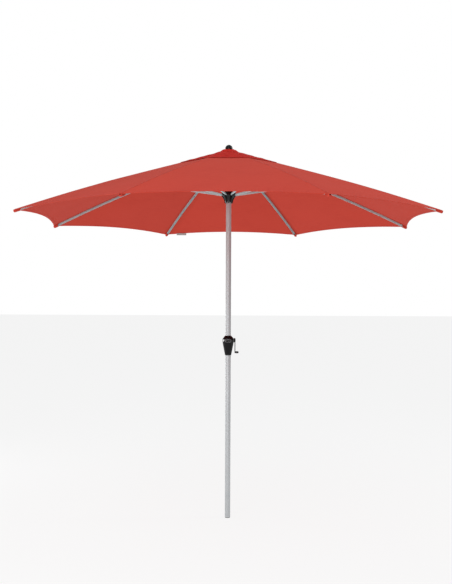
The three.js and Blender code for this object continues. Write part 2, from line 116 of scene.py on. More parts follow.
class Paint:
    """A material under construction, with its surface shader ready."""

    def __init__(self, name: str) -> None:
        """Makes the material.

        Args:
            name: The material's name.
        """
        self.material = bpy.data.materials.new(name)
        self.material.use_nodes = True
        self.tree = self.material.node_tree
        self.surface = self.tree.nodes["Principled BSDF"]

    def add(self, kind: str, **values: object) -> bpy.types.Node:
        """Adds one node.

        Args:
            kind: The node's type.
            values: Settings and input values, by name with _ for a space.

        Returns:
            The new node.
        """
        node = self.tree.nodes.new(kind)
        for name, value in values.items():
            if hasattr(node, name):
                setattr(node, name, value)
            else:
                node.inputs[name.replace("_", " ")].default_value = value
        return node

    def link(self, source: bpy.types.NodeSocket, target: bpy.types.NodeSocket) -> None:
        """Joins two sockets."""
        self.tree.links.new(source, target)

    def set(self, **values: object) -> None:
        """Sets numbers and colours on the surface shader, by name with _ for a space."""
        for name, value in values.items():
            self.surface.inputs[name.replace("_", " ")].default_value = value

    def stretched(self, coordinates: str, scale: Point) -> bpy.types.NodeSocket:
        """Coordinates for a pattern.

        Args:
            coordinates: Object or UV.
            scale: How much the pattern is repeated along each axis.

        Returns:
            The socket that gives the scaled coordinates.
        """
        place = self.add("ShaderNodeTexCoord")
        mapping = self.add("ShaderNodeMapping")
        mapping.inputs["Scale"].default_value = scale
        self.link(place.outputs[coordinates], mapping.inputs["Vector"])
        return mapping.outputs["Vector"]

    def noise(self, vector: bpy.types.NodeSocket, scale: float,
              detail: float = 3.0) -> bpy.types.NodeSocket:
        """A soft random pattern.

        Args:
            vector: The coordinates it follows.
            scale: How fine it is.
            detail: How many finer layers it has.

        Returns:
            The socket that gives its strength.
        """
        node = self.add("ShaderNodeTexNoise", Scale=scale, Detail=detail)
        self.link(vector, node.inputs["Vector"])
        return node.outputs["Fac"]

    def wave(self, vector: bpy.types.NodeSocket, axis: str, pitch: float) -> bpy.types.NodeSocket:
        """Parallel threads.

        Args:
            vector: The coordinates they follow.
            axis: The axis across the threads: X, Y or DIAGONAL.
            pitch: The distance between two threads.

        Returns:
            The socket that gives their height.
        """
        bands_per_unit = 20 / math.tau
        node = self.add("ShaderNodeTexWave", bands_direction=axis, Scale=1 / (pitch * bands_per_unit))
        self.link(vector, node.inputs["Vector"])
        return node.outputs["Fac"]

    def combine(self, how: str, first: bpy.types.NodeSocket,
                second: bpy.types.NodeSocket) -> bpy.types.NodeSocket:
        """Combines two patterns.

        Args:
            how: The arithmetic, such as ADD.
            first: One pattern.
            second: The other.

        Returns:
            The socket that gives the result.
        """
        node = self.add("ShaderNodeMath", operation=how)
        self.link(first, node.inputs[0])
        self.link(second, node.inputs[1])
        return node.outputs[0]

    def shade(self, pattern: bpy.types.NodeSocket, dark: Point, light: Point,
              low: float, high: float) -> None:
        """Colours the surface between two colours.

        Args:
            pattern: What decides between them.
            dark: The colour at low.
            light: The colour at high.
            low: The pattern's value for the dark colour.
            high: The pattern's value for the light colour.
        """
        ramp = self.add("ShaderNodeValToRGB")
        ramp.color_ramp.elements[0].position = low
        ramp.color_ramp.elements[0].color = dark
        ramp.color_ramp.elements[1].position = high
        ramp.color_ramp.elements[1].color = light
        self.link(pattern, ramp.inputs["Fac"])
        self.link(ramp.outputs["Color"], self.surface.inputs["Base Color"])

    def rough(self, pattern: bpy.types.NodeSocket, low: float, high: float) -> None:
        """Lets the roughness run between two values.

        Args:
            pattern: What it runs with, from 0 to 1.
            low: The roughness at 0.
            high: The roughness at 1.
        """
        span = self.add("ShaderNodeMapRange")
        span.inputs["To Min"].default_value = low
        span.inputs["To Max"].default_value = high
        self.link(pattern, span.inputs["Value"])
        self.link(span.outputs["Result"], self.surface.inputs["Roughness"])

    def bump(self, pattern: bpy.types.NodeSocket, depth: float, strength: float = 1.0) -> None:
        """Raises the surface by a pattern.

        Args:
            pattern: The height, from 0 to 1.
            depth: The height in metres at 1.
            strength: How much of it shows.
        """
        node = self.add("ShaderNodeBump", Strength=strength, Distance=depth)
        self.link(pattern, node.inputs["Height"])
        if self.surface.inputs["Normal"].is_linked:
            earlier = self.surface.inputs["Normal"].links[0].from_socket
            self.link(earlier, node.inputs["Normal"])
        self.link(node.outputs["Normal"], self.surface.inputs["Normal"])


@dataclass(frozen=True)
class WovenCloth:
    """Plain-woven polyester, with painted shade in the hollows between its threads. It follows the piece's
    own UV map, which is in metres.
    """

    name: str
    light: tuple
    dark: tuple
    thread: float = 0.0013
    weave_depth: float = 0.00012
    roughness: float = 0.82
    sheen: float = 0.02
    gloss: float = 0.06
    # The weave's share of the colour is painted shade between the threads.
    weave_shade_share: float = 0.16  # how much the weave shows in the colour
    slubs: tuple = (14, 160, 1)  # how fine the thick places in the threads are
    slub_depth: float = 0.0003
    cloud: float = 2.3  # how fine the uneven dyeing is
    contrast: tuple = (0.62, 1.38)

    def make(self) -> bpy.types.Material:
        """Builds the material.

        Returns:
            The material.
        """
        paint = Paint(self.name)
        cloth = paint.stretched("UV", (1, 1, 1))
        weft = paint.wave(cloth, "X", self.thread)
        warp = paint.wave(cloth, "Y", self.thread)
        weave = paint.combine("MULTIPLY", weft, warp)
        slubs = paint.noise(paint.stretched("UV", self.slubs), 1.0, 2.0)
        clouds = paint.noise(cloth, self.cloud, 4.0)
        tone = paint.combine("ADD", slubs, clouds)
        # The weave darkens the colour between the threads as painted shade, on top of the uneven dyeing of
        # the slubs and clouds.
        woven = paint.add("ShaderNodeMath", operation="MULTIPLY_ADD")
        paint.link(weave, woven.inputs[0])
        woven.inputs[1].default_value = self.weave_shade_share
        paint.link(tone, woven.inputs[2])
        paint.shade(woven.outputs[0], self.dark, self.light, *self.contrast)
        paint.bump(weave, self.weave_depth, 0.6)
        paint.bump(slubs, self.slub_depth, 0.25)
        paint.set(Roughness=self.roughness, Sheen_Weight=self.sheen, Sheen_Roughness=0.45)
        paint.set(Specular_IOR_Level=self.gloss)
        return paint.material


@dataclass(frozen=True)
class DrawnMetal:
    """Metal drawn or brushed along one axis of the object."""

    name: str
    light: tuple
    dark: tuple
    roughness: float = 0.38
    grain: tuple = (900, 900, 7)  # how fine the drawn lines are along each axis
    handling: float = 9.0  # how fine the dull patches are
    wear: float = 0.08
    metallic: float = 0.6
    relief: float = 0.00004  # height of the drawn lines

    def make(self) -> bpy.types.Material:
        """Builds the material.

        Returns:
            The material.
        """
        paint = Paint(self.name)
        lines = paint.noise(paint.stretched("Object", self.grain), 1.0, 4.0)
        patches = paint.noise(paint.stretched("Object", (1, 1, 1)), self.handling, 5.0)
        paint.shade(paint.combine("ADD", lines, patches), self.dark, self.light, 0.7, 1.3)
        paint.rough(patches, self.roughness - self.wear, self.roughness + self.wear)
        paint.bump(lines, self.relief, 0.5)
        paint.set(Metallic=self.metallic)
        return paint.material


@dataclass(frozen=True)
class MouldedPlastic:
    """Black moulded plastic with a fine eroded texture and slight wear."""

    name: str
    light: tuple
    dark: tuple
    roughness: float = 0.24
    texture: float = 0.00002  # height of the eroded grain
    coat: float = 0.15
    gloss: float = 0.25
    grain: float = 1800.0  # how fine the eroded grain is
    wear: float = 38.0  # how fine the worn patches are

    def make(self) -> bpy.types.Material:
        """Builds the material.

        Returns:
            The material.
        """
        paint = Paint(self.name)
        place = paint.stretched("Object", (1, 1, 1))
        grain = paint.noise(place, self.grain, 2.0)
        wear = paint.noise(place, self.wear, 5.0)
        paint.shade(wear, self.dark, self.light, 0.35, 0.75)
        paint.rough(wear, 0.75 * self.roughness, 1.5 * self.roughness)
        paint.bump(grain, self.texture, 0.7)
        paint.set(Coat_Weight=self.coat, Coat_Roughness=0.18, Specular_IOR_Level=self.gloss)
        return paint.material


@dataclass(frozen=True)
class Braid:
    """Braided or woven cord and webbing, which follows the piece's own UV map. The hollows between its
    strands are painted darker, as painted shade.
    """

    name: str
    light: tuple
    dark: tuple
    strand: float = 0.0011
    depth: float = 0.00025

    def make(self) -> bpy.types.Material:
        """Builds the material.

        Returns:
            The material.
        """
        paint = Paint(self.name)
        over = paint.wave(paint.stretched("UV", (1, 1, 1)), "DIAGONAL", self.strand)
        under = paint.wave(paint.stretched("UV", (-1, 1, 1)), "DIAGONAL", self.strand)
        strands = paint.combine("MAXIMUM", over, under)
        # Dark in the hollows between the strands and light on their tops: painted shade.
        paint.shade(strands, self.dark, self.light, 0.1, 0.9)
        paint.bump(strands, self.depth, 0.8)
        paint.set(Roughness=0.85, Sheen_Weight=0.3)
        return paint.material


class Finishes:
    """Every finish of the parasol, each made once."""

    def __init__(self) -> None:
        """Builds the materials."""
        self.canopy = WovenCloth("canopy_cloth", srgb(187, 62, 48), srgb(177, 54, 41)).make()
        self.crown = WovenCloth("crown_cloth", srgb(180, 40, 33), srgb(153, 24, 21), sheen=0.0,
                                gloss=0.04, cloud=9.0, contrast=(0.75, 1.3)).make()
        self.seam = WovenCloth("seam_cloth", srgb(183, 61, 48), srgb(170, 51, 40)).make()
        self.thread = Braid("sewing_thread", srgb(184, 66, 58), srgb(140, 40, 36), 0.0004).make()
        self.pole = DrawnMetal("anodised_tube", srgb(184, 187, 189), srgb(175, 179, 181),
                               roughness=0.5, wear=0.03, metallic=0.5, relief=0.000006).make()
        self.rib = DrawnMetal("painted_rib", srgb(182, 202, 205), srgb(164, 184, 188),
                              roughness=0.42, grain=(420, 420, 420), metallic=0.3).make()
        self.steel = DrawnMetal("zinc_plated_steel", srgb(176, 178, 178), srgb(140, 142, 144),
                                roughness=0.3, grain=(700, 700, 700), wear=0.1, metallic=1.0).make()
        self.black = MouldedPlastic("black_moulding", srgb(17, 17, 19), srgb(7, 7, 8)).make()
        self.housing = MouldedPlastic("polished_black_housing", srgb(12, 12, 14), srgb(5, 5, 6),
                                      roughness=0.13, texture=0.000008, coat=0.05, gloss=0.16).make()
        self.ball = MouldedPlastic("polished_black_ball", srgb(12, 12, 14), srgb(5, 5, 6),
                                   roughness=0.12, texture=0.000008, coat=0.05, gloss=0.16).make()
        self.bezel = MouldedPlastic("satin_grey_bezel", srgb(158, 159, 162), srgb(128, 129, 132),
                                    roughness=0.34).make()
        self.cord = Braid("braided_cord", srgb(226, 223, 214), srgb(158, 154, 144)).make()
        self.webbing = Braid("grey_webbing", srgb(186, 190, 188), srgb(120, 124, 122), 0.0016).make()


# ---- Mesh work ----


def smoothed(made: bpy.types.Object, crease: float = SHARP) -> bpy.types.Object:
    """Shades an object smooth.

    Args:
        made: The object.
        crease: Edges sharper than this, in degrees, stay crisp.

    Returns:
        The same object.
    """
    made.data.shade_smooth()
    made.data.set_sharp_from_angle(angle=math.radians(crease))
    return made


def piece(name: str, solid: Solid, finish: bpy.types.Material, uv: np.ndarray | None = None,
          crease: float = SHARP) -> bpy.types.Object:
    """Makes an object of a closed solid.

    Args:
        name: The object's name.
        solid: Its vertices and faces.
        finish: Its material.
        uv: One pair for each vertex, in metres.
        crease: Edges sharper than this, in degrees, stay crisp.

    Returns:
        The object, at the origin.
    """
    mesh = bpy.data.meshes.new(name)
    mesh.from_pydata([tuple(v) for v in solid[0]], [], solid[1])
    if uv is not None:
        layer = mesh.uv_layers.new(name="cut")
        corners = np.empty(len(mesh.loops), dtype=int)
        mesh.loops.foreach_get("vertex_index", corners)
        layer.data.foreach_set("uv", np.asarray(uv, dtype=float)[corners].ravel())
    tidy = bmesh.new()
    tidy.from_mesh(mesh)
    bmesh.ops.recalc_face_normals(tidy, faces=tidy.faces)
    tidy.to_mesh(mesh)
    tidy.free()
    mesh.materials.append(finish)
    made = bpy.data.objects.new(name, mesh)
    bpy.context.scene.collection.objects.link(made)
    return smoothed(made, crease)


def applied(made: bpy.types.Object) -> bpy.types.Object:
    """Turns an object's modifiers into plain mesh.

    Args:
        made: The object.

    Returns:
        The same object, without modifiers.
    """
    graph = bpy.context.evaluated_depsgraph_get()
    mesh = bpy.data.meshes.new_from_object(made.evaluated_get(graph))
    made.modifiers.clear()
    made.data = mesh
    return made


def boolean(made: bpy.types.Object, how: str, *tools: bpy.types.Object) -> bpy.types.Object:
    """Cuts or joins solids and throws the tools away.

    Args:
        made: The object that is changed.
        how: DIFFERENCE, UNION or INTERSECT.
        tools: The other solids.

    Returns:
        The changed object.
    """
    for tool in tools:
        step = made.modifiers.new(how.lower(), "BOOLEAN")
        step.operation = how
        step.solver = "EXACT"
        step.object = tool
    applied(made)
    for tool in tools:
        bpy.data.objects.remove(tool)
    return made


def bevelled(made: bpy.types.Object, width: float, segments: int = 3,
             angle: float = SHARP) -> bpy.types.Object:
    """Rounds an object's sharp edges.

    Args:
        made: The object.
        width: The width of the rounding.
        segments: Its steps.
        angle: Edges sharper than this, in degrees, are rounded.

    Returns:
        The same object, as plain mesh.
    """
    step = made.modifiers.new("rounded_edges", "BEVEL")
    step.width = width
    step.segments = segments
    step.limit_method = "ANGLE"
    step.angle_limit = math.radians(angle)
    step.harden_normals = False
    return smoothed(applied(made), angle)


def turned(outline: Sequence[Point], sides: int = 64, ring: bool = False) -> Solid:
    """A turned solid about the Z axis.

    Args:
        outline: Points of radius and height.
        sides: Its sides.
        ring: True if the outline closes on itself, False if it starts and ends on the axis.

    Returns:
        Its vertices and faces.
    """
    points: list = []
    rings: list[list[int]] = []
    for radius, height in outline:
        start = len(points)
        if radius < 1e-7:
            points.append((0.0, 0.0, height))
            rings.append([start] * sides)
            continue
        for k in range(sides):
            angle = math.tau * k / sides
            points.append((radius * math.cos(angle), radius * math.sin(angle), height))
        rings.append([start + k for k in range(sides)])
    pairs = list(zip(rings, rings[1:]))
    if ring:
        pairs.append((rings[-1], rings[0]))
    faces = []
    for low, high in pairs:
        for k in range(sides):
            n = (k + 1) % sides
            corners = [low[k], low[n], high[n], high[k]]
            faces.append(tuple(dict.fromkeys(corners)))
    return points, [face for face in faces if len(face) > 2]


def fillet(outline: Sequence[Point], radius: float, steps: int = 4, closed: bool = True) -> list:
    """Rounds the corners of a flat outline.

    Args:
        outline: Its points.
        radius: The rounding's size along each side.
        steps: Its steps.
        closed: Whether the outline closes on itself. The ends of an open one stay.

    Returns:
        The rounded outline.
    """
    points = [np.array(p, dtype=float) for p in outline]
    rounded = []
    for i, corner in enumerate(points):
        if not closed and i in (0, len(points) - 1):
            rounded.append(tuple(corner))
            continue
        before = points[i - 1] - corner
        after = points[(i + 1) % len(points)] - corner
        lengths = [np.linalg.norm(before), np.linalg.norm(after)]
        reach = min(radius, 0.49 * min(lengths))
        first = corner + before / lengths[0] * reach
        last = corner + after / lengths[1] * reach
        for k in range(steps + 1):
            t = k / steps
            rounded.append(tuple((1 - t) ** 2 * first + 2 * t * (1 - t) * corner + t * t * last))
    return rounded


def sweep(sections: Sequence[Sequence[Point]], loop: bool = False) -> Solid:
    """A solid through a row of closed outlines with the same number of points.

    Args:
        sections: The outlines, each a list of points in space.
        loop: Whether the row closes on itself. Otherwise it is capped at both ends.

    Returns:
        Its vertices and faces.
    """
    count = len(sections[0])
    points = [tuple(p) for section in sections for p in section]
    rows = len(sections)
    faces = []
    for i in range(rows if loop else rows - 1):
        a = i * count
        b = ((i + 1) % rows) * count
        for k in range(count):
            n = (k + 1) % count
            faces.append((a + k, a + n, b + n, b + k))
    if not loop:
        faces.append(tuple(range(count)))
        faces.append(tuple((rows - 1) * count + k for k in reversed(range(count))))
    return points, faces


def slab(outline: Sequence[Point], width: float, offset: float = 0.0) -> Solid:
    """A flat solid in the plane of a rib.

    Args:
        outline: Points of radius and height.
        width: Its width across that plane.
        offset: How far its middle is off that plane.

    Returns:
        Its vertices and faces.
    """
    sides = [[(r, offset + s * width / 2, z) for r, z in outline] for s in (-1, 1)]
    return sweep(sides)


def two_faced(outer: np.ndarray, inner: np.ndarray, loop: bool = False) -> Solid:
    """A closed sheet between two grids of points.

    Args:
        outer: One face, rows by columns by 3.
        inner: The other face, the same size.
        loop: Whether the columns close on themselves.

    Returns:
        Its vertices and faces.
    """
    rows, columns = outer.shape[:2]
    points = np.concatenate([outer.reshape(-1, 3), inner.reshape(-1, 3)])
    under = rows * columns
    last = columns if loop else columns - 1
    faces = []
    for i in range(rows - 1):
        for j in range(last):
            n = (j + 1) % columns
            a, b = i * columns + j, (i + 1) * columns + j
            c, d = (i + 1) * columns + n, i * columns + n
            faces.append((a, b, c, d))
            faces.append((d + under, c + under, b + under, a + under))
    for i, flip in ((0, False), (rows - 1, True)):
        for j in range(last):
            a, b = i * columns + j, i * columns + (j + 1) % columns
            faces.append((a, b, b + under, a + under) if not flip else (b, a, a + under, b + under))
    if not loop:
        for j, flip in ((0, True), (columns - 1, False)):
            for i in range(rows - 1):
                a, b = i * columns + j, (i + 1) * columns + j
                faces.append((a, b, b + under, a + under) if not flip else (b, a, a + under, b + under))
    return points.tolist(), faces


def joined(*solids: Solid) -> Solid:
    """Several solids as one.

    Args:
        solids: The solids.

    Returns:
        The vertices and faces of them all.
    """
    points: list = []
    faces: list = []
    for some_points, some_faces in solids:
        start = len(points)
        points.extend(some_points)
        faces.extend(tuple(start + k for k in face) for face in some_faces)
    return points, faces


def moved(solid: Solid, matrix: Matrix) -> Solid:
    """A solid after a turn or a move."""
    return [tuple(matrix @ Vector(p)) for p in solid[0]], solid[1]


ABOUT_X = Matrix.Rotation(math.pi / 2, 4, "Y")


def about_x(outline: Sequence[Point], y: float, z: float, sides: int = 48, ring: bool = True) -> Solid:
    """A turned solid about a line along X through (0, y, z). Each point is a radius and an x."""
    return moved(turned(outline, sides, ring), Matrix.Translation((0, y, z)) @ ABOUT_X)


def rod_y(radius: float, width: float, r: float, z: float, sides: int = 32) -> Solid:
    """A round pin across the plane of a rib.

    Args:
        radius: Its radius.
        width: Its length.
        r: How far out it is.
        z: Its height.
        sides: Its sides.

    Returns:
        Its vertices and faces.
    """
    circle = [(r + radius * math.cos(math.tau * k / sides), z + radius * math.sin(math.tau * k / sides))
              for k in range(sides)]
    return slab(circle, width)


def block(low: Point, high: Point) -> Solid:
    """A cutting block.

    Args:
        low: Its lowest corner.
        high: The opposite corner.

    Returns:
        Its vertices and faces.
    """
    (x0, y0, z0), (x1, y1, z1) = low, high
    outline = [(x0, y0), (x1, y0), (x1, y1), (x0, y1)]
    return sweep([[(x, y, z) for x, y in outline] for z in (z0, z1)])


def arc(centre: Point, radius: float, start: float, end: float, steps: int = 12) -> list:
    """Points on an arc in a flat outline, with angles in degrees."""
    angles = [math.radians(start + (end - start) * k / steps) for k in range(steps + 1)]
    return [(centre[0] + radius * math.cos(a), centre[1] + radius * math.sin(a)) for a in angles]


def azimuth(i: int) -> float:
    """The direction of rib i, counted from 0."""
    return -math.pi / 2 + RIB_PITCH / 2 + i * RIB_PITCH


def spoke(i: int) -> Matrix:
    """The turn from the plane y = 0 to the plane of rib i."""
    return Matrix.Rotation(azimuth(i), 4, "Z")


def copy_to_spoke(template: bpy.types.Object, name: str, i: int) -> bpy.types.Object:
    """Copies a piece made in the plane y = 0 to a rib, with the turn in its mesh.

    Args:
        template: The piece.
        name: The copy's name.
        i: The rib, counted from 0.

    Returns:
        The copy.
    """
    mesh = template.data.copy()
    mesh.transform(spoke(i))
    mesh.name = name
    made = bpy.data.objects.new(name, mesh)
    bpy.context.scene.collection.objects.link(made)
    return made


def settle(made: bpy.types.Object, body: str, slot: Slot, *nodes: str) -> bpy.types.Object:
    """Gives a finished piece its body and hides the nodes that it stands for.

    Args:
        made: The piece.
        body: The body that it moves with.
        slot: Not used.
        nodes: The names of the nodes that it replaces.

    Returns:
        The piece.
    """
    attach(made, body)
    if nodes:
        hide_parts(*nodes)
    log.info("%s rides on %s, %d faces", made.name, body, len(made.data.polygons))
    return made


# ---- What repeats ----


class Repeat:
    """A node tree that sets one small shape along a row or at a set of points."""

    def __init__(self, name: str, sizes: dict[str, float]) -> None:
        """Starts the tree.

        Args:
            name: The tree's name.
            sizes: Each named input, with its usual value.
        """
        self.tree = bpy.data.node_groups.new(name, "GeometryNodeTree")
        interface = self.tree.interface
        interface.new_socket(name="Places", in_out="INPUT", socket_type="NodeSocketGeometry")
        for label, value in sizes.items():
            socket = interface.new_socket(name=label, in_out="INPUT", socket_type="NodeSocketFloat")
            socket.default_value = value
        interface.new_socket(name="Finish", in_out="INPUT", socket_type="NodeSocketMaterial")
        interface.new_socket(name="Pieces", in_out="OUTPUT", socket_type="NodeSocketGeometry")
        self.start = self.tree.nodes.new("NodeGroupInput")
        self.end = self.tree.nodes.new("NodeGroupOutput")

    def add(self, kind: str, **settings: object) -> bpy.types.Node:
        """Adds one node.

        Args:
            kind: The node's type.
            settings: Its settings, by name.

        Returns:
            The new node.
        """
        node = self.tree.nodes.new(kind)
        for name, value in settings.items():
            setattr(node, name, value)
        return node

    def link(self, source: bpy.types.NodeSocket, target: bpy.types.NodeSocket) -> None:
        """Joins two sockets."""
        self.tree.links.new(source, target)

    def scale_of(self, *labels: str) -> bpy.types.NodeSocket:
        """A scale from three named inputs.

        Args:
            labels: The inputs' names for X, Y and Z.

        Returns:
            The socket that gives the scale.
        """
        vector = self.add("ShaderNodeCombineXYZ")
        for k, label in enumerate(labels):
            self.link(self.start.outputs[label], vector.inputs[k])
        return vector.outputs[0]

    def ball(self, segments: int, rings: int) -> bpy.types.Node:
        """Adds a ball of one unit across.

        Args:
            segments: Its faces round the Z axis.
            rings: Its faces from pole to pole.

        Returns:
            The ball's node.
        """
        node = self.add("GeometryNodeMeshUVSphere")
        node.inputs["Segments"].default_value = segments
        node.inputs["Rings"].default_value = rings
        node.inputs["Radius"].default_value = 0.5
        return node

    def facing(self) -> bpy.types.NodeSocket:
        """Lays a shape's Z axis along each point's axis attribute.

        Returns:
            The socket that gives the rotation.
        """
        axis = self.add("GeometryNodeInputNamedAttribute", data_type="FLOAT_VECTOR")
        axis.inputs["Name"].default_value = "axis"
        align = self.add("FunctionNodeAlignRotationToVector", axis="Z")
        self.link(axis.outputs["Attribute"], align.inputs["Vector"])
        return align.outputs["Rotation"]

    def finish(self, shape: bpy.types.NodeSocket, points: bpy.types.NodeSocket,
               rotation: bpy.types.NodeSocket, scale: bpy.types.NodeSocket) -> None:
        """Sets the shape at the points and ends the tree.

        Args:
            shape: The small shape.
            points: Where it goes.
            rotation: How it is turned.
            scale: Its size.
        """
        instance = self.add("GeometryNodeInstanceOnPoints")
        smooth = self.add("GeometryNodeSetShadeSmooth")
        real = self.add("GeometryNodeRealizeInstances")
        paint = self.add("GeometryNodeSetMaterial")
        self.link(points, instance.inputs["Points"])
        self.link(shape, smooth.inputs[0])
        self.link(smooth.outputs[0], instance.inputs["Instance"])
        self.link(rotation, instance.inputs["Rotation"])
        self.link(scale, instance.inputs["Scale"])
        self.link(instance.outputs["Instances"], real.inputs[0])
        self.link(real.outputs[0], paint.inputs["Geometry"])
        self.link(self.start.outputs["Finish"], paint.inputs["Material"])
        self.link(paint.outputs[0], self.end.inputs[0])

    def make(self, name: str, places: bpy.types.Mesh, finish: bpy.types.Material,
             **sizes: float) -> bpy.types.Object:
        """Runs the tree on a mesh of rows or points.

        Args:
            name: The piece's name.
            places: The rows, as edges, or the points, as vertices.
            finish: The piece's material.
            sizes: Values for the named inputs.

        Returns:
            The piece, as plain mesh.
        """
        made = bpy.data.objects.new(name, places)
        bpy.context.scene.collection.objects.link(made)
        step = made.modifiers.new("repeat", "NODES")
        step.node_group = self.tree
        for item in self.tree.interface.items_tree:
            if item.in_out == "INPUT" and item.name in sizes:
                step[item.identifier] = sizes[item.name]
            if item.in_out == "INPUT" and item.name == "Finish":
                step[item.identifier] = finish
        applied(made)
        made.data.name = name
        return made


class StitchRow(Repeat):
    """Short bars of thread, one after the other along each row."""

    def __init__(self) -> None:
        """Builds the tree."""
        super().__init__("row_of_stitches", {"Pitch": 0.005, "Length": 0.0038, "Thread": 0.0008})
        curve = self.add("GeometryNodeMeshToCurve")
        steps = self.add("GeometryNodeCurveToPoints", mode="LENGTH")
        bead = self.ball(5, 4)
        self.link(self.start.outputs["Places"], curve.inputs[0])
        self.link(curve.outputs[0], steps.inputs[0])
        self.link(self.start.outputs["Pitch"], steps.inputs["Length"])
        self.finish(bead.outputs[0], steps.outputs["Points"], steps.outputs["Rotation"],
                    self.scale_of("Thread", "Thread", "Length"))


class RivetSet(Repeat):
    """A domed rivet head at each point, facing along the point's axis."""

    def __init__(self) -> None:
        """Builds the tree."""
        super().__init__("set_of_rivets", {"Width": 0.009, "Height": 0.004})
        dome = self.ball(24, 12)
        turn = self.facing()
        self.finish(dome.outputs[0], self.start.outputs["Places"], turn,
                    self.scale_of("Width", "Width", "Height"))


class ScrewSet(Repeat):
    """A pan-head screw with a cross recess at each point, facing along the point's axis."""

    def __init__(self) -> None:
        """Builds the tree."""
        super().__init__("set_of_screws", {"Width": 0.0075, "Height": 0.003})
        head = self.ball(24, 12)
        recess = self.add("GeometryNodeMeshBoolean", operation="DIFFERENCE")
        self.link(head.outputs[0], recess.inputs["Mesh 1"])
        for size in ((0.62, 0.14, 0.5), (0.14, 0.62, 0.5)):
            bar = self.add("GeometryNodeMeshCube")
            bar.inputs["Size"].default_value = size
            raised = self.add("GeometryNodeTransform")
            raised.inputs["Translation"].default_value = (0, 0, 0.45)
            self.link(bar.outputs["Mesh"], raised.inputs["Geometry"])
            self.link(raised.outputs[0], recess.inputs["Mesh 2"])
        turn = self.facing()
        self.finish(recess.outputs["Mesh"], self.start.outputs["Places"], turn,
                    self.scale_of("Width", "Width", "Height"))


def rows_mesh(rows: Iterable[Sequence[Point]]) -> bpy.types.Mesh:
    """Open rows of edges, for a StitchRow.

    Args:
        rows: The points of each row.

    Returns:
        A mesh of edges alone.
    """
    points: list = []
    edges: list = []
    for row in rows:
        start = len(points)
        points.extend(tuple(p) for p in row)
        edges.extend((start + k, start + k + 1) for k in range(len(row) - 1))
    mesh = bpy.data.meshes.new("rows")
    mesh.from_pydata(points, edges, [])
    return mesh


def points_mesh(places: Sequence[tuple[Point, Point]]) -> bpy.types.Mesh:
    """Loose points with an axis each, for a RivetSet or a ScrewSet.

    Args:
        places: A point and its axis, for each.

    Returns:
        A mesh of vertices alone.
    """
    mesh = bpy.data.meshes.new("points")
    mesh.from_pydata([tuple(place) for place, _ in places], [], [])
    attribute = mesh.attributes.new("axis", "FLOAT_VECTOR", "POINT")
    attribute.data.foreach_set("vector", [c for _, axis in places for c in axis])
    return mesh


# ---- The lines that the cloth and the ribs follow ----


@dataclass(frozen=True)
class Arch:
    """The curve of a rib, in its own plane."""

    apex: float = 2.623
    tip_z: float = 2.132
    tip_r: float = 1.500
    bow: float = 0.016
    skew: float = 1.4
    cloth: float = 0.0015
    clearance: float = 0.0014

    def cloth_z(self, r: float | np.ndarray) -> float | np.ndarray:
        """Height of the cloth's upper face over the rib, at a radius."""
        t = r / self.tip_r
        return self.apex + (self.tip_z - self.apex) * t + self.bow * np.sin(np.pi * t ** self.skew)

    def rib_z(self, r: float | np.ndarray) -> float | np.ndarray:
        """Height of the rib's upper face, at a radius."""
        return self.cloth_z(r) - self.cloth - self.clearance


ARCH = Arch()
SIN_HALF = math.sin(RIB_PITCH / 2)
COS_HALF = math.cos(RIB_PITCH / 2)


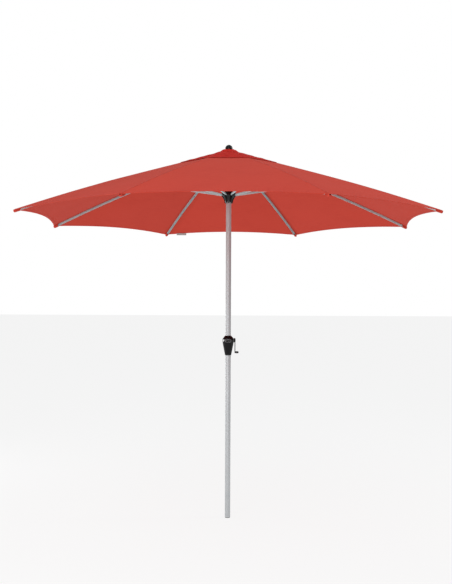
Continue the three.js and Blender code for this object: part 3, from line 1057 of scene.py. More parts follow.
@dataclass
class ClothRing:
    """A ring of eight sections of cloth, each centred on a rib.

    A section reaches from the middle of one panel to the middle of the next. A place on it is
    a radius and a side, which is 0 on the rib and -1 or 1 at the middle of a panel.
    """

    name: str
    inner_r: float
    outer_r: float
    cut_back: float  # how far the hem is cut back half way between two ribs
    sag: float
    hem: float
    rows: int
    columns: int
    squash_keep: float
    seam_width: float = 16 * MM
    seam_height: float = 0.9 * MM
    stitch_offset: float = 5.5 * MM  # from the middle of a seam to its stitches

    def outer(self, side: np.ndarray) -> np.ndarray:
        """Radius of the hem at a side."""
        return self.outer_r - self.cut_back * (1 - (1 - np.abs(side)) ** 2)

    def lift(self, s: np.ndarray, side: np.ndarray) -> np.ndarray:
        """Height over the line of the ribs. s runs from 0 at the inner edge to 1 at the hem."""
        return -self.sag * np.sin(np.pi * s) * np.sin(np.pi / 2 * np.abs(side))

    def ripple(self, i: int, r: np.ndarray, side: np.ndarray) -> np.ndarray:
        """Small unevenness of the cloth on section i."""
        return np.zeros_like(r)

    def surface(self, i: int, r: np.ndarray, side: np.ndarray) -> np.ndarray:
        """Points on the upper face, in the plane of rib 0.

        Args:
            i: The section.
            r: Radii.
            side: Sides, the same shape.

        Returns:
            An array of points with one more axis.
        """
        s = (r - self.inner_r) / (self.outer(side) - self.inner_r)
        x = r * (1 - np.abs(side) * SIN_HALF ** 2)
        y = r * side * SIN_HALF * COS_HALF
        z = ARCH.cloth_z(r) + self.lift(s, side) + self.ripple(i, r, side)
        return np.stack([x, y, z], axis=-1)

    def hem_rows(self) -> tuple[list[float], list[float]]:
        """Where the rows of vertices in the two hems are, and how thick the cloth is there.

        Returns:
            Distances from the edge, and the thickness at each.
        """
        double = HEM_LAYERS * CLOTH
        places = [0.0, 0.25 * CLOTH, CLOTH, 0.5 * self.hem, self.hem - 0.3 * MM, self.hem]
        return places, [0.4 * CLOTH, 1.2 * CLOTH, double, double, double, CLOTH]

    def section(self, i: int, finish: bpy.types.Material) -> bpy.types.Object:
        """Makes one section as a closed sheet with a doubled hem at its two edges.

        Args:
            i: The section.
            finish: Its material.

        Returns:
            The object, before it is turned to its place.
        """
        places, thick = self.hem_rows()
        side = np.linspace(-1, 1, 2 * self.columns + 1)
        outer = self.outer(side)
        inside = [(self.inner_r + d, t) for d, t in zip(places, thick)]
        outside = [(outer - d, t) for d, t in zip(reversed(places), reversed(thick))]
        first, last = self.inner_r + self.hem, outer - self.hem
        middle = [(first + (last - first) * k / self.rows, CLOTH) for k in range(1, self.rows)]
        grid_r = np.stack([np.broadcast_to(r, side.shape) for r, _ in [*inside, *middle, *outside]])
        depth = np.array([t for _, t in [*inside, *middle, *outside]])
        grid_side = np.broadcast_to(side, grid_r.shape)
        upper = self.surface(i, grid_r, grid_side)
        lower = upper.copy()
        lower[..., 2] -= depth[:, None]
        upper[0, :, 2] -= 0.5 * CLOTH
        upper[-1, :, 2] -= 0.5 * CLOTH
        uv = np.stack([upper[..., 1], grid_r], axis=-1).reshape(-1, 2)
        return piece(f"{self.name}_{i + 1}", two_faced(upper, lower), finish, np.concatenate([uv, uv]), 50)

    def seam(self, i: int) -> Solid:
        """The felled seam over rib i, in the plane of rib 0.

        Args:
            i: The section.

        Returns:
            Its vertices and faces.
        """
        r = np.linspace(self.inner_r + 2 * MM, self.outer_r - 6 * MM, self.rows)
        y = np.array([-0.5, -0.47, -0.2, 0.2, 0.47, 0.5]) * self.seam_width
        height = np.array([0.0, 0.8, 1.0, 1.0, 0.8, 0.0]) * self.seam_height
        grid_r, grid_y = np.meshgrid(r, y, indexing="ij")
        under = self.surface(i, grid_r, grid_y / (grid_r * SIN_HALF * COS_HALF))
        over = under.copy()
        over[..., 2] += height
        under[..., 2] -= 0.2 * MM
        return two_faced(over, under)

    def seam_rows(self, i: int) -> list[np.ndarray]:
        """Two rows of stitches along the seam over rib i, in the plane of rib 0.

        Args:
            i: The section.

        Returns:
            The points of each row.
        """
        r = np.linspace(self.inner_r + 4 * MM, self.outer_r - 12 * MM, self.rows)
        rows = []
        for y in (-self.stitch_offset, self.stitch_offset):
            row = self.surface(i, r, y / (r * SIN_HALF * COS_HALF))
            row[:, 2] += self.seam_height + 0.05 * MM
            rows.append(row)
        return rows

    def hem_stitches(self, i: int) -> list[np.ndarray]:
        """A row of stitches on both faces of each hem of section i, in the plane of rib 0.

        Args:
            i: The section.

        Returns:
            The points of each row.
        """
        side = np.linspace(-0.999, 0.999, 2 * self.columns + 1)
        inset = self.hem - 3 * MM
        proud = 0.1 * MM
        rows = []
        for r in (self.outer(side) - inset, np.full_like(side, self.inner_r + inset)):
            for depth in (proud, -HEM_LAYERS * CLOTH - proud):
                row = self.surface(i, r, side)
                row[:, 2] += depth
                rows.append(row)
        return rows


@dataclass
class MainCloth(ClothRing):
    """The canopy itself, from the open vent to the rib tips."""

    swell: float = 1.1 * MM
    fan: float = 0.7 * MM  # height of the folds that fan out from a tip
    fan_start: float = 30 * MM
    fan_reach: float = 170 * MM
    fan_clear: float = 20 * MM  # they fade out this close to a seam

    def ripple(self, i: int, r: np.ndarray, side: np.ndarray) -> np.ndarray:
        """Long soft swells across a panel, and small folds that fan out from each tip.

        Args:
            i: The section.
            r: Radii.
            side: Sides, the same shape.

        Returns:
            Heights, the same shape.
        """
        t = (r - self.inner_r) / (self.outer_r - self.inner_r)
        panel = np.where(side >= 0, i, i - 1) % RIB_COUNT
        u = np.sign(side) * (np.abs(side) - 1)
        fade = (1 - u ** 2) * np.sin(np.pi * np.clip(t, 0, 1)) ** 0.5
        long_swell = np.sin(2.6 * np.pi * t + 1.7 * panel + 0.8 * u)
        short_swell = 0.45 * np.sin(5.9 * np.pi * t - 2.3 * panel + 1.9 * u)
        away = np.abs(side) * r * SIN_HALF * COS_HALF
        inwards = self.outer(side) - r
        reach = np.hypot(away, inwards)
        angle = np.arctan2(away, inwards + self.fan_start)
        fan = np.exp(-reach / self.fan_reach) * np.sin(13 * angle + panel) * (1 - np.abs(side)) ** 2
        fan = fan * np.clip(away / self.fan_clear, 0, 1)
        return self.swell * fade * (long_swell + short_swell) + self.fan * fan


@dataclass
class VentCloth(ClothRing):
    """The vent cap, which lies loosely over the open middle of the canopy."""

    inner_lift: float = 4 * MM
    rib_lift: float = 3.6 * MM  # how high the hem lies over a rib's seam
    panel_lift: float = 1.2 * MM  # and half way between two ribs, where the canopy sags
    crease: float = 2.4 * MM

    def lift(self, s: np.ndarray, side: np.ndarray) -> np.ndarray:
        """The hem lies close on the canopy below."""
        hem = self.rib_lift + (self.panel_lift - self.rib_lift) * np.abs(side)
        return self.inner_lift + (hem - self.inner_lift) * np.clip(s, 0, 1) ** 2

    def ripple(self, i: int, r: np.ndarray, side: np.ndarray) -> np.ndarray:
        """Slack folds across a panel, and gathers where the cap is sewn to the crown.

        Args:
            i: The section.
            r: Radii.
            side: Sides, the same shape.

        Returns:
            Heights, the same shape.
        """
        t = (r - self.inner_r) / (self.outer_r - self.inner_r)
        panel = np.where(side >= 0, i, i - 1) % RIB_COUNT
        u = np.sign(side) * (np.abs(side) - 1)
        across = 1 + np.sin(8.6 * np.pi * t + 2.1 * panel + 1.9 * np.sin(2.6 * u + panel))
        slanted = 1 + np.sin(5.2 * np.pi * t + 4.4 * u + 3.3 * panel)
        gathers = (1 + np.cos(11 * np.pi * u + panel)) * np.exp(-t / 0.3)
        folds = 0.4 * across + 0.35 * slanted + 0.5 * gathers
        return self.crease * (1 - u ** 2) * (1 - 0.75 * t ** 4) * folds


# ---- Canopy ----


@dataclass
class Canopy:
    """All the cloth that moves with the ribs."""

    finishes: Finishes
    stitches: StitchRow
    pocket_start_r: float = 1.455
    pocket_half_width: float = 0.0105
    pocket_depth: float = 0.0205
    pocket_cut: tuple = (0.052, 0.050)
    pocket_area: float = 0.0021

    def __post_init__(self) -> None:
        """Works out the two rings of cloth from the frame."""
        self.main = MainCloth("canopy_cloth", inner_r=0.240, outer_r=ARCH.tip_r, cut_back=0.058, sag=0.008,
                              hem=0.020, rows=96, columns=40, squash_keep=SHUT_WIDTH)
        self.vent = VentCloth("vent_cloth", inner_r=0.060, outer_r=0.364, cut_back=0.010, sag=0.0,
                              hem=0.012, rows=34, columns=20, squash_keep=0.5)

    def build(self) -> None:
        """Builds the eight sections, their seams, stitches and tip pockets."""
        for i in range(RIB_COUNT):
            self.ring_section(self.main, i, self.finishes.canopy, Slot.CANOPY, "canopy_section")
            self.ring_section(self.vent, i, self.finishes.crown, Slot.CROWN, "vent_section")
            self.pocket(i)

    def ring_section(self, ring: ClothRing, i: int, finish: bpy.types.Material, slot: Slot,
                     node: str) -> None:
        """Builds one section of a ring with its seam and stitches.

        Args:
            ring: The ring of cloth.
            i: The section.
            finish: Its material.
            slot: Its slot.
            node: The name of the node that it stands for, without its number.
        """
        body = f"spoke_{i + 1}"
        seam_finish = self.finishes.seam if slot is Slot.CANOPY else self.finishes.crown
        cloth = ring.section(i, finish)
        hems = self.stitches.make(f"{ring.name}_hem_stitches_{i + 1}", rows_mesh(ring.hem_stitches(i)),
                                  self.finishes.thread)
        strip = ring.seam(i)
        flat = np.array(strip[0])
        uv = np.stack([flat[:, 1], flat[:, 0]], axis=-1)
        seam = piece(f"{ring.name}_seam_{i + 1}", strip, seam_finish, uv)
        sewn = self.stitches.make(f"{ring.name}_seam_stitches_{i + 1}", rows_mesh(ring.seam_rows(i)),
                                  self.finishes.thread)
        for made in (cloth, hems, seam, sewn):
            made.data.transform(spoke(i))
        settle(cloth, body, slot, f"{node}_{i + 1}")
        for made in (hems, seam, sewn):
            settle(made, body, slot)
        for made in (cloth, hems):
            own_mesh(made)

    def pocket(self, i: int) -> None:
        """Builds the small pocket that holds the end of a rib.

        Args:
            i: The rib, counted from 0.
        """
        stations = np.linspace(0, 1, 15)
        around = np.linspace(-math.pi / 2, math.pi / 2, 19)
        r = self.pocket_start_r + (ARCH.tip_r - 1 * MM - self.pocket_start_r) * stations
        nose = np.sqrt(1 - np.clip((stations - 0.72) / 0.285, 0, 1) ** 2)
        faces = []
        for inset in (0.0, CLOTH):
            width = np.maximum(self.pocket_half_width * (0.45 + 0.55 * nose) - inset, 1 * MM)
            depth = np.maximum(self.pocket_depth * (0.25 + 0.75 * nose) - inset, 1 * MM)
            y = width[:, None] * np.sign(np.sin(around)) * np.abs(np.sin(around)) ** 0.55
            drop = depth[:, None] * np.cos(around) ** 0.45
            top = ARCH.cloth_z(r) - 1.1 * MM
            x = np.broadcast_to(r[:, None] - inset * stations[:, None], y.shape)
            faces.append(np.stack([x, y, top[:, None] - drop], axis=-1))
        uv = np.stack([faces[0][..., 1], faces[0][..., 0]], axis=-1).reshape(-1, 2)
        made = piece(f"tip_pocket_{i + 1}", two_faced(*faces), self.finishes.seam,
                     np.concatenate([uv, uv]), 60)
        made.data.transform(spoke(i))
        settle(made, f"spoke_{i + 1}", Slot.CANOPY)


@dataclass
class ClosingStrap:
    """The spare length of closing strap, folded up under the hem beside one rib."""

    finishes: Finishes
    layers: int = 3
    thickness: float = 0.0011

    def build(self) -> None:
        """Builds the strap from its node's box."""
        low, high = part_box("closing_strap")
        centre_y = (low.y + high.y) / 2
        pitch = (high.y - low.y - self.thickness) / (self.layers - 1)
        path = self.folded_path(low.x, high.x, centre_y - pitch * (self.layers - 1) / 2, pitch)
        heights = np.linspace(low.z, high.z, 5)
        faces = [self.band(path, side * self.thickness / 2, heights) for side in (-1, 1)]
        steps = np.concatenate([[0], np.cumsum(np.linalg.norm(np.diff(path, axis=0), axis=1))])
        uv = np.stack(np.broadcast_arrays(heights[None, :], steps[:, None]), axis=-1).reshape(-1, 2)
        made = piece("closing_strap_webbing", two_faced(*faces), self.finishes.webbing,
                     np.concatenate([uv, uv]), 60)
        settle(made, "spoke_5", Slot.WEBBING, "closing_strap")
        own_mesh(made)

    def folded_path(self, x0: float, x1: float, y0: float, pitch: float) -> np.ndarray:
        """The strap's line seen from above, back and forth with round folds.

        Args:
            x0: Where one row of folds is.
            x1: Where the other row is.
            y0: The first layer's place.
            pitch: The distance from one layer to the next.

        Returns:
            Points of x and y.
        """
        radius = pitch / 2
        points = []
        for layer in range(self.layers):
            ends = [x0 + radius, x1 - radius]
            if layer % 2:
                ends.reverse()
            y = y0 + layer * pitch
            points.extend((x, y) for x in np.linspace(ends[0], ends[1], 14))
            if layer < self.layers - 1:
                turn = 1 if layer % 2 == 0 else -1
                angles = np.linspace(-math.pi / 2, math.pi / 2, 8)[1:-1]
                points.extend((ends[1] + turn * radius * math.cos(a), y + radius + radius * math.sin(a))
                              for a in angles)
        return np.array(points)

    def band(self, path: np.ndarray, offset: float, heights: np.ndarray) -> np.ndarray:
        """One face of the strap.

        Args:
            path: The strap's middle line.
            offset: How far the face is off that line.
            heights: The heights of its rows of points.

        Returns:
            A grid of points.
        """
        along = np.gradient(path, axis=0)
        normal = np.stack([-along[:, 1], along[:, 0]], axis=-1)
        normal /= np.linalg.norm(normal, axis=1)[:, None]
        line = path + normal * offset
        return np.array([[(x, y, z) for z in heights] for x, y in line])


# ---- Crown ----


@dataclass
class Crown:
    """The round cap over the hub, and the ball that clamps it."""

    finishes: Finishes
    hole_r: float = 0.0085
    top_r: float = 0.050
    edge_r: float = 0.080
    edge_z: float = 2.6025
    turned_edge: float = 6 * MM
    thickness: float = 1.3 * MM
    puckers: int = 16
    pucker: float = 1.8 * MM
    pressed: float = -0.6  # how far a gather can dip before it lies on the hub, in puckers
    stud_r: float = 7.5 * MM

    def build(self) -> None:
        """Builds the cap and the ball."""
        self.cap()
        self.ball()

    def cap(self) -> None:
        """A doubled round of cloth, flat on the hub and falling away round it, with soft gathers."""
        top_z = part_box("crown_cap")[1].z
        t = np.linspace(0, 1, 34)
        phi = np.linspace(0, math.tau, 128, endpoint=False)
        r = self.hole_r + (self.edge_r - self.hole_r) * t
        fall = np.clip((r - self.top_r) / (self.edge_r - self.top_r), 0, 1)
        profile = top_z - (top_z - self.edge_z) * fall ** 0.85
        gather = np.clip((r - 0.02) / 0.03, 0, 1)[:, None]
        wave = np.cos(self.puckers * phi) + 0.6 * np.cos(9 * phi + 1.1) + 0.5 * np.sin(5 * phi)
        twist = phi[None, :] + 9 * (r[:, None] - self.top_r)
        slanted = 0.5 * np.cos(13 * twist)
        folds = np.maximum(wave[None, :] + slanted, self.pressed)
        z = profile[:, None] + self.pucker * gather * folds * (1 - 0.6 * fall[:, None])
        edge = 1 + 0.022 * fall[:, None] * np.cos(self.puckers * phi + 0.4)[None, :]
        x = r[:, None] * edge * np.cos(phi)
        y = r[:, None] * edge * np.sin(phi)
        upper = np.stack([x, y, z], axis=-1)
        lower = upper.copy()
        lower[..., 2] -= self.thickness
        uv = upper[..., :2].reshape(-1, 2)
        made = piece("crown_cap_cloth", two_faced(upper, lower, loop=True), self.finishes.crown,
                     np.concatenate([uv, uv]), 60)
        settle(made, "pole", Slot.CROWN, "crown_cap")

    def ball(self) -> None:
        """The ball on its stud, with a flat seat and a fine parting line."""
        low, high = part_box("finial")
        radius = high.x
        centre = high.z - radius
        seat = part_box("crown_cap")[1].z + GAP
        start = math.degrees(math.asin((seat - centre) / radius))
        rim = arc((0, centre), radius, start, 90, 28)
        outline = [(0, low.z), (self.stud_r, low.z), (self.stud_r, seat), *rim[:-1], (0, high.z)]
        made = piece("finial_ball", turned(outline, 72), self.finishes.ball)
        settle(made, "pole", Slot.BLACK, "finial")


# ---- Folding frame ----


@dataclass
class FoldingFrame:
    """Ribs, their end plugs, and the struts."""

    finishes: Finishes
    rivets: RivetSet
    rib_width: float = 0.012
    rib_height: float = 0.015
    rib_end_r: float = 1.486
    rail_start_r: float = 0.062
    wall: float = 0.0013
    eye_r: float = 0.0075
    hub_pivot: tuple = (0.038, 2.596)
    runner_pivot: tuple = (0.045, 2.303)
    strut_pivot_r: float = 0.615
    pivot_drop: float = 0.027
    strut_width: float = 0.010
    cheek_width: float = 2.5 * MM
    cheek_r: float = 9 * MM
    wire_hole_r: float = 2.3 * MM

    def __post_init__(self) -> None:
        """Works out the pivot between a rib and its strut."""
        self.strut_pivot = (self.strut_pivot_r, float(ARCH.cloth_z(self.strut_pivot_r)) - self.pivot_drop)

    def build(self) -> None:
        """Builds one of each in the plane y = 0 and copies it to every rib."""
        rib, plug, strut = self.rib(), self.plug(), self.strut()
        for i in range(RIB_COUNT):
            n = i + 1
            channel = copy_to_spoke(rib, f"rib_channel_{n}", i)
            settle(channel, f"spoke_{n}", Slot.ALUMINIUM, f"rib_{n}")
            end_plug = copy_to_spoke(plug, f"rib_end_plug_{n}", i)
            settle(end_plug, f"spoke_{n}", Slot.BLACK, f"rib_tip_{n}")
            brace = copy_to_spoke(strut, f"strut_channel_{n}", i)
            settle(brace, f"strut_{n}", Slot.ALUMINIUM, f"strut_{n}")
            self.rivet_heads(i)
        for template in (rib, plug, strut):
            bpy.data.objects.remove(template)

    def channel(self, width: float, height: float, corner: float, upside: int) -> list:
        """A U-shaped outline across a channel.

        Args:
            width: Its outer width.
            height: Its outer height.
            corner: The rounding of its back's corners.
            upside: 1 with its open side down and its back at 0, -1 the other way up.

        Returns:
            Points across and up, closed.
        """
        half, inner = width / 2, width / 2 - self.wall
        back = fillet([(-half, -height), (-half, 0), (half, 0), (half, -height)], corner, 4, False)
        web = fillet([(inner, -height), (inner, -self.wall), (-inner, -self.wall), (-inner, -height)],
                     corner - self.wall / 2, 4, False)
        return [(y, upside * z) for y, z in [*back, *web]]

    def rib(self) -> bpy.types.Object:
        """The rib: an arched channel open below, an eye at the hub and two cheeks for the strut.

        Returns:
            The rib in the plane y = 0.
        """
        outline = self.channel(self.rib_width, self.rib_height, 2.4 * MM, 1)
        stations = np.linspace(self.rail_start_r - 2 * MM, self.rib_end_r, 60)
        rail = sweep([[(r, y, float(ARCH.rib_z(r)) + z) for y, z in outline] for r in stations])
        made = piece("rib_template", rail, self.finishes.rib)
        eye = piece("eye", slab(self.eye_outline(), self.rib_width - 2 * self.wall + 0.2 * MM),
                    self.finishes.rib)
        cheek_y = self.strut_width / 2 + 0.5 * MM + self.cheek_width / 2
        cheeks = [piece(f"cheek_{k}", slab(self.cheek_outline(), self.cheek_width, k * cheek_y),
                        self.finishes.rib) for k in (-1, 1)]
        boolean(made, "UNION", bevelled(eye, 0.8 * MM, 2), *(bevelled(c, 0.5 * MM, 2) for c in cheeks))
        reach = 2.5 * self.rib_width
        wire_hole = piece("hole", rod_y(self.wire_hole_r, reach, *self.hub_pivot), self.finishes.steel)
        boolean(made, "DIFFERENCE", wire_hole)
        return smoothed(made)

    def eye_outline(self) -> list:
        """The rib's inner end: a round eye that runs into the rail.

        Returns:
            Points of radius and height.
        """
        r = self.rail_start_r + 14 * MM
        top = float(ARCH.rib_z(r)) - 0.6 * MM
        low = top - self.rib_height + 1 * MM
        return [*arc(self.hub_pivot, self.eye_r, 270, 90, 16), (r, top), (r, low)]

    def cheek_outline(self) -> list:
        """One cheek of the strut's bracket, round at the pivot.

        Returns:
            Points of radius and height.
        """
        r, z = self.strut_pivot
        line = [(r + d, float(ARCH.rib_z(r + d)) - 4 * MM) for d in (13 * MM, -13 * MM)]
        return [*arc((r, z), self.cheek_r, -180, 0, 20), *line]

    def plug(self) -> bpy.types.Object:
        """The moulded plug in a rib's outer end.

        Returns:
            The plug in the plane y = 0.
        """
        end, height = self.rib_end_r, self.rib_height
        cap = self.below_rib((end + GAP, 0), (end + 8 * MM, 0.6 * MM), (end + 11 * MM, 4 * MM),
                             (end + 11 * MM, height - 4 * MM), (end + 8 * MM, height - 0.6 * MM),
                             (end + GAP, height))
        spigot = self.below_rib((end - 16 * MM, 3 * MM), (end + 2 * MM, 2 * MM),
                                (end + 2 * MM, 14 * MM), (end - 16 * MM, 13 * MM))
        made = piece("plug_template", slab(cap, self.rib_width), self.finishes.black)
        tongue_width = self.rib_width - 2 * self.wall - 0.6 * MM
        tongue = piece("tongue", slab(spigot, tongue_width), self.finishes.black)
        return bevelled(boolean(made, "UNION", tongue), 1.2 * MM, 3)

    def below_rib(self, *points: Point) -> list:
        """Turns pairs of a radius and a depth below the rib's upper face into radius and height."""
        return [(r, float(ARCH.rib_z(r)) - depth) for r, depth in points]

    def strut(self) -> bpy.types.Object:
        """The strut: a channel open above with a round eye at each end.

        Returns:
            The strut in the plane y = 0.
        """
        dr = self.strut_pivot[0] - self.runner_pivot[0]
        dz = self.strut_pivot[1] - self.runner_pivot[1]
        length = math.hypot(dr, dz)
        inner, outer, lap = 6 * MM, 7.2 * MM, 16 * MM
        sections = []
        for s in np.linspace(lap, length - lap, 24):
            half = inner + (outer - inner) * s / length
            outline = self.channel(self.strut_width, 1.86 * half, 2.0 * MM, -1)
            sections.append([(s, y, z - half) for y, z in outline])
        made = piece("strut_template", sweep(sections), self.finishes.rib)
        ends = []
        for centre, radius, way in ((0, inner, -1), (length, outer, 1)):
            start = 90 if way < 0 else -90
            reach = centre - way * 2.4 * lap
            tongue = [*arc((centre, 0), radius, start, start + 180, 16),
                      (reach, way * 0.8 * radius), (reach, -way * radius + way * self.wall * 0.5)]
            width = self.strut_width - 2 * self.wall + 0.3 * MM
            end = piece("eye_end", slab(tongue, width), self.finishes.rib)
            ends.append(bevelled(end, 0.8 * MM, 2))
        boolean(made, "UNION", *ends)
        turn = Matrix.Rotation(-math.atan2(dz, dr), 4, "Y")
        made.data.transform(Matrix.Translation((self.runner_pivot[0], 0, self.runner_pivot[1])) @ turn)
        return smoothed(made)

    def rivet_heads(self, i: int) -> None:
        """The two heads of the rivet on the cheeks of a rib.

        Args:
            i: The rib, counted from 0.
        """
        r, z = self.strut_pivot
        reach = self.strut_width / 2 + 3 * MM
        places = [((r, k * reach, z), (0, k, 0)) for k in (-1, 1)]
        heads = self.rivets.make(f"strut_rivet_{i + 1}", points_mesh(places), self.finishes.steel,
                                 Width=9 * MM, Height=3.6 * MM)
        heads.data.transform(spoke(i))
        settle(heads, f"spoke_{i + 1}", Slot.STEEL)


# ---- Top hub and runner ----


@dataclass
class TopHub:
    """The notched moulding on the pole's head, and the ring of wire through the ribs' eyes."""

    finishes: Finishes
    slot_half: float = 0.0065
    slot_start_r: float = 28.5 * MM
    slot_end_r: float = 60 * MM
    hole_r: float = 8 * MM
    wire_r: float = 1.4 * MM
    groove_r: float = 1.9 * MM
    pivot_r: float = 0.038
    pivot_z: float = 2.596

    def build(self) -> None:
        """Builds the hub and its wire."""
        low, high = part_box("top_hub")
        pole_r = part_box("pole_upper")[1].x + 0.3 * MM
        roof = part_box("pole_upper")[1].z + GAP
        edge = high.x
        rim = fillet([(edge - 3 * MM, low.z), (edge, low.z), (edge, high.z), (edge - 5 * MM, high.z)],
                     2.4 * MM, 4, False)
        outline = [(self.hole_r, roof), (pole_r, roof), (pole_r, low.z), *rim, (self.hole_r, high.z)]
        made = piece("top_hub_moulding", turned(outline, 96, ring=True), self.finishes.black)
        slots = []
        for i in range(RIB_COUNT):
            box = block((self.slot_start_r, -self.slot_half, low.z - 2 * MM),
                        (self.slot_end_r, self.slot_half, self.pivot_z + 11 * MM))
            slots.append(piece(f"slot_{i}", moved(box, spoke(i)), self.finishes.black))
        groove = piece("groove", self.wire(self.groove_r), self.finishes.black)
        boolean(made, "DIFFERENCE", *slots, groove)
        settle(bevelled(made, 0.5 * MM, 2, 40), "pole", Slot.BLACK, "top_hub")
        ring = piece("hub_wire", self.wire(self.wire_r), self.finishes.steel)
        settle(ring, "pole", Slot.STEEL, "hub_ring")

    def wire(self, radius: float) -> Solid:
        """A round ring through the pivots.

        Args:
            radius: The radius of its section.

        Returns:
            Its vertices and faces.
        """
        outline = [(self.pivot_r + radius * math.cos(a), self.pivot_z + radius * math.sin(a))
                   for a in (math.tau * k / 12 for k in range(12))]
        return turned(outline, 96, ring=True)


@dataclass
class Runner:
    """The sliding sleeve with eight fins. The struts' ends swing between the fins."""

    finishes: Finishes
    slot_half: float = 0.007
    slot_start_r: float = 24 * MM
    slot_end_r: float = 60 * MM
    sleeve_r: float = 24.5 * MM
    neck_r: float = 28 * MM
    fin_r: float = 51.5 * MM
    pin_radius: float = 1.9 * MM
    pivot_r: float = 0.045
    pivot_z: float = 2.303

    def build(self) -> None:
        """Builds the moulding and the struts' pins."""
        low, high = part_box("runner")
        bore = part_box("pole_upper")[1].x + 0.6 * MM
        foot, top, neck = low.z, high.z, self.pivot_z + 19 * MM
        shoulder = foot + 11 * MM
        fins = fillet([(self.neck_r, foot), (33 * MM, foot + 24 * MM), (40 * MM, foot + 37 * MM),
                       (self.fin_r, foot + 53 * MM), (self.fin_r, neck - 6 * MM), (46 * MM, neck),
                       (self.neck_r, neck)], 3.2 * MM, 4, False)
        collar = fillet([(self.neck_r, neck), (self.neck_r, top), (bore, top)], 1.5 * MM, 3, False)
        outline = [(bore, shoulder), (self.sleeve_r, shoulder), (self.sleeve_r, foot), *fins, *collar[1:]]
        made = piece("runner_moulding", turned(outline, 96, ring=True), self.finishes.black)
        slots = []
        for i in range(RIB_COUNT):
            box = block((self.slot_start_r, -self.slot_half, foot - 2 * MM),
                        (self.slot_end_r, self.slot_half, neck + 0.5 * MM))
            slots.append(piece(f"slot_{i}", moved(box, spoke(i)), self.finishes.black))
        boolean(made, "DIFFERENCE", *slots)
        settle(bevelled(made, 0.7 * MM, 3, 40), "runner", Slot.BLACK, "runner")
        self.pins()

    def pins(self) -> None:
        """Eight pins across the slots, with their ends flush in the fins."""
        pin = rod_y(self.pin_radius, 2 * self.slot_half + 5 * MM, self.pivot_r, self.pivot_z, 20)
        solids = [moved(pin, spoke(i)) for i in range(RIB_COUNT)]
        made = piece("strut_pins", joined(*solids), self.finishes.steel)
        settle(made, "runner", Slot.STEEL)


# ---- Pole ----


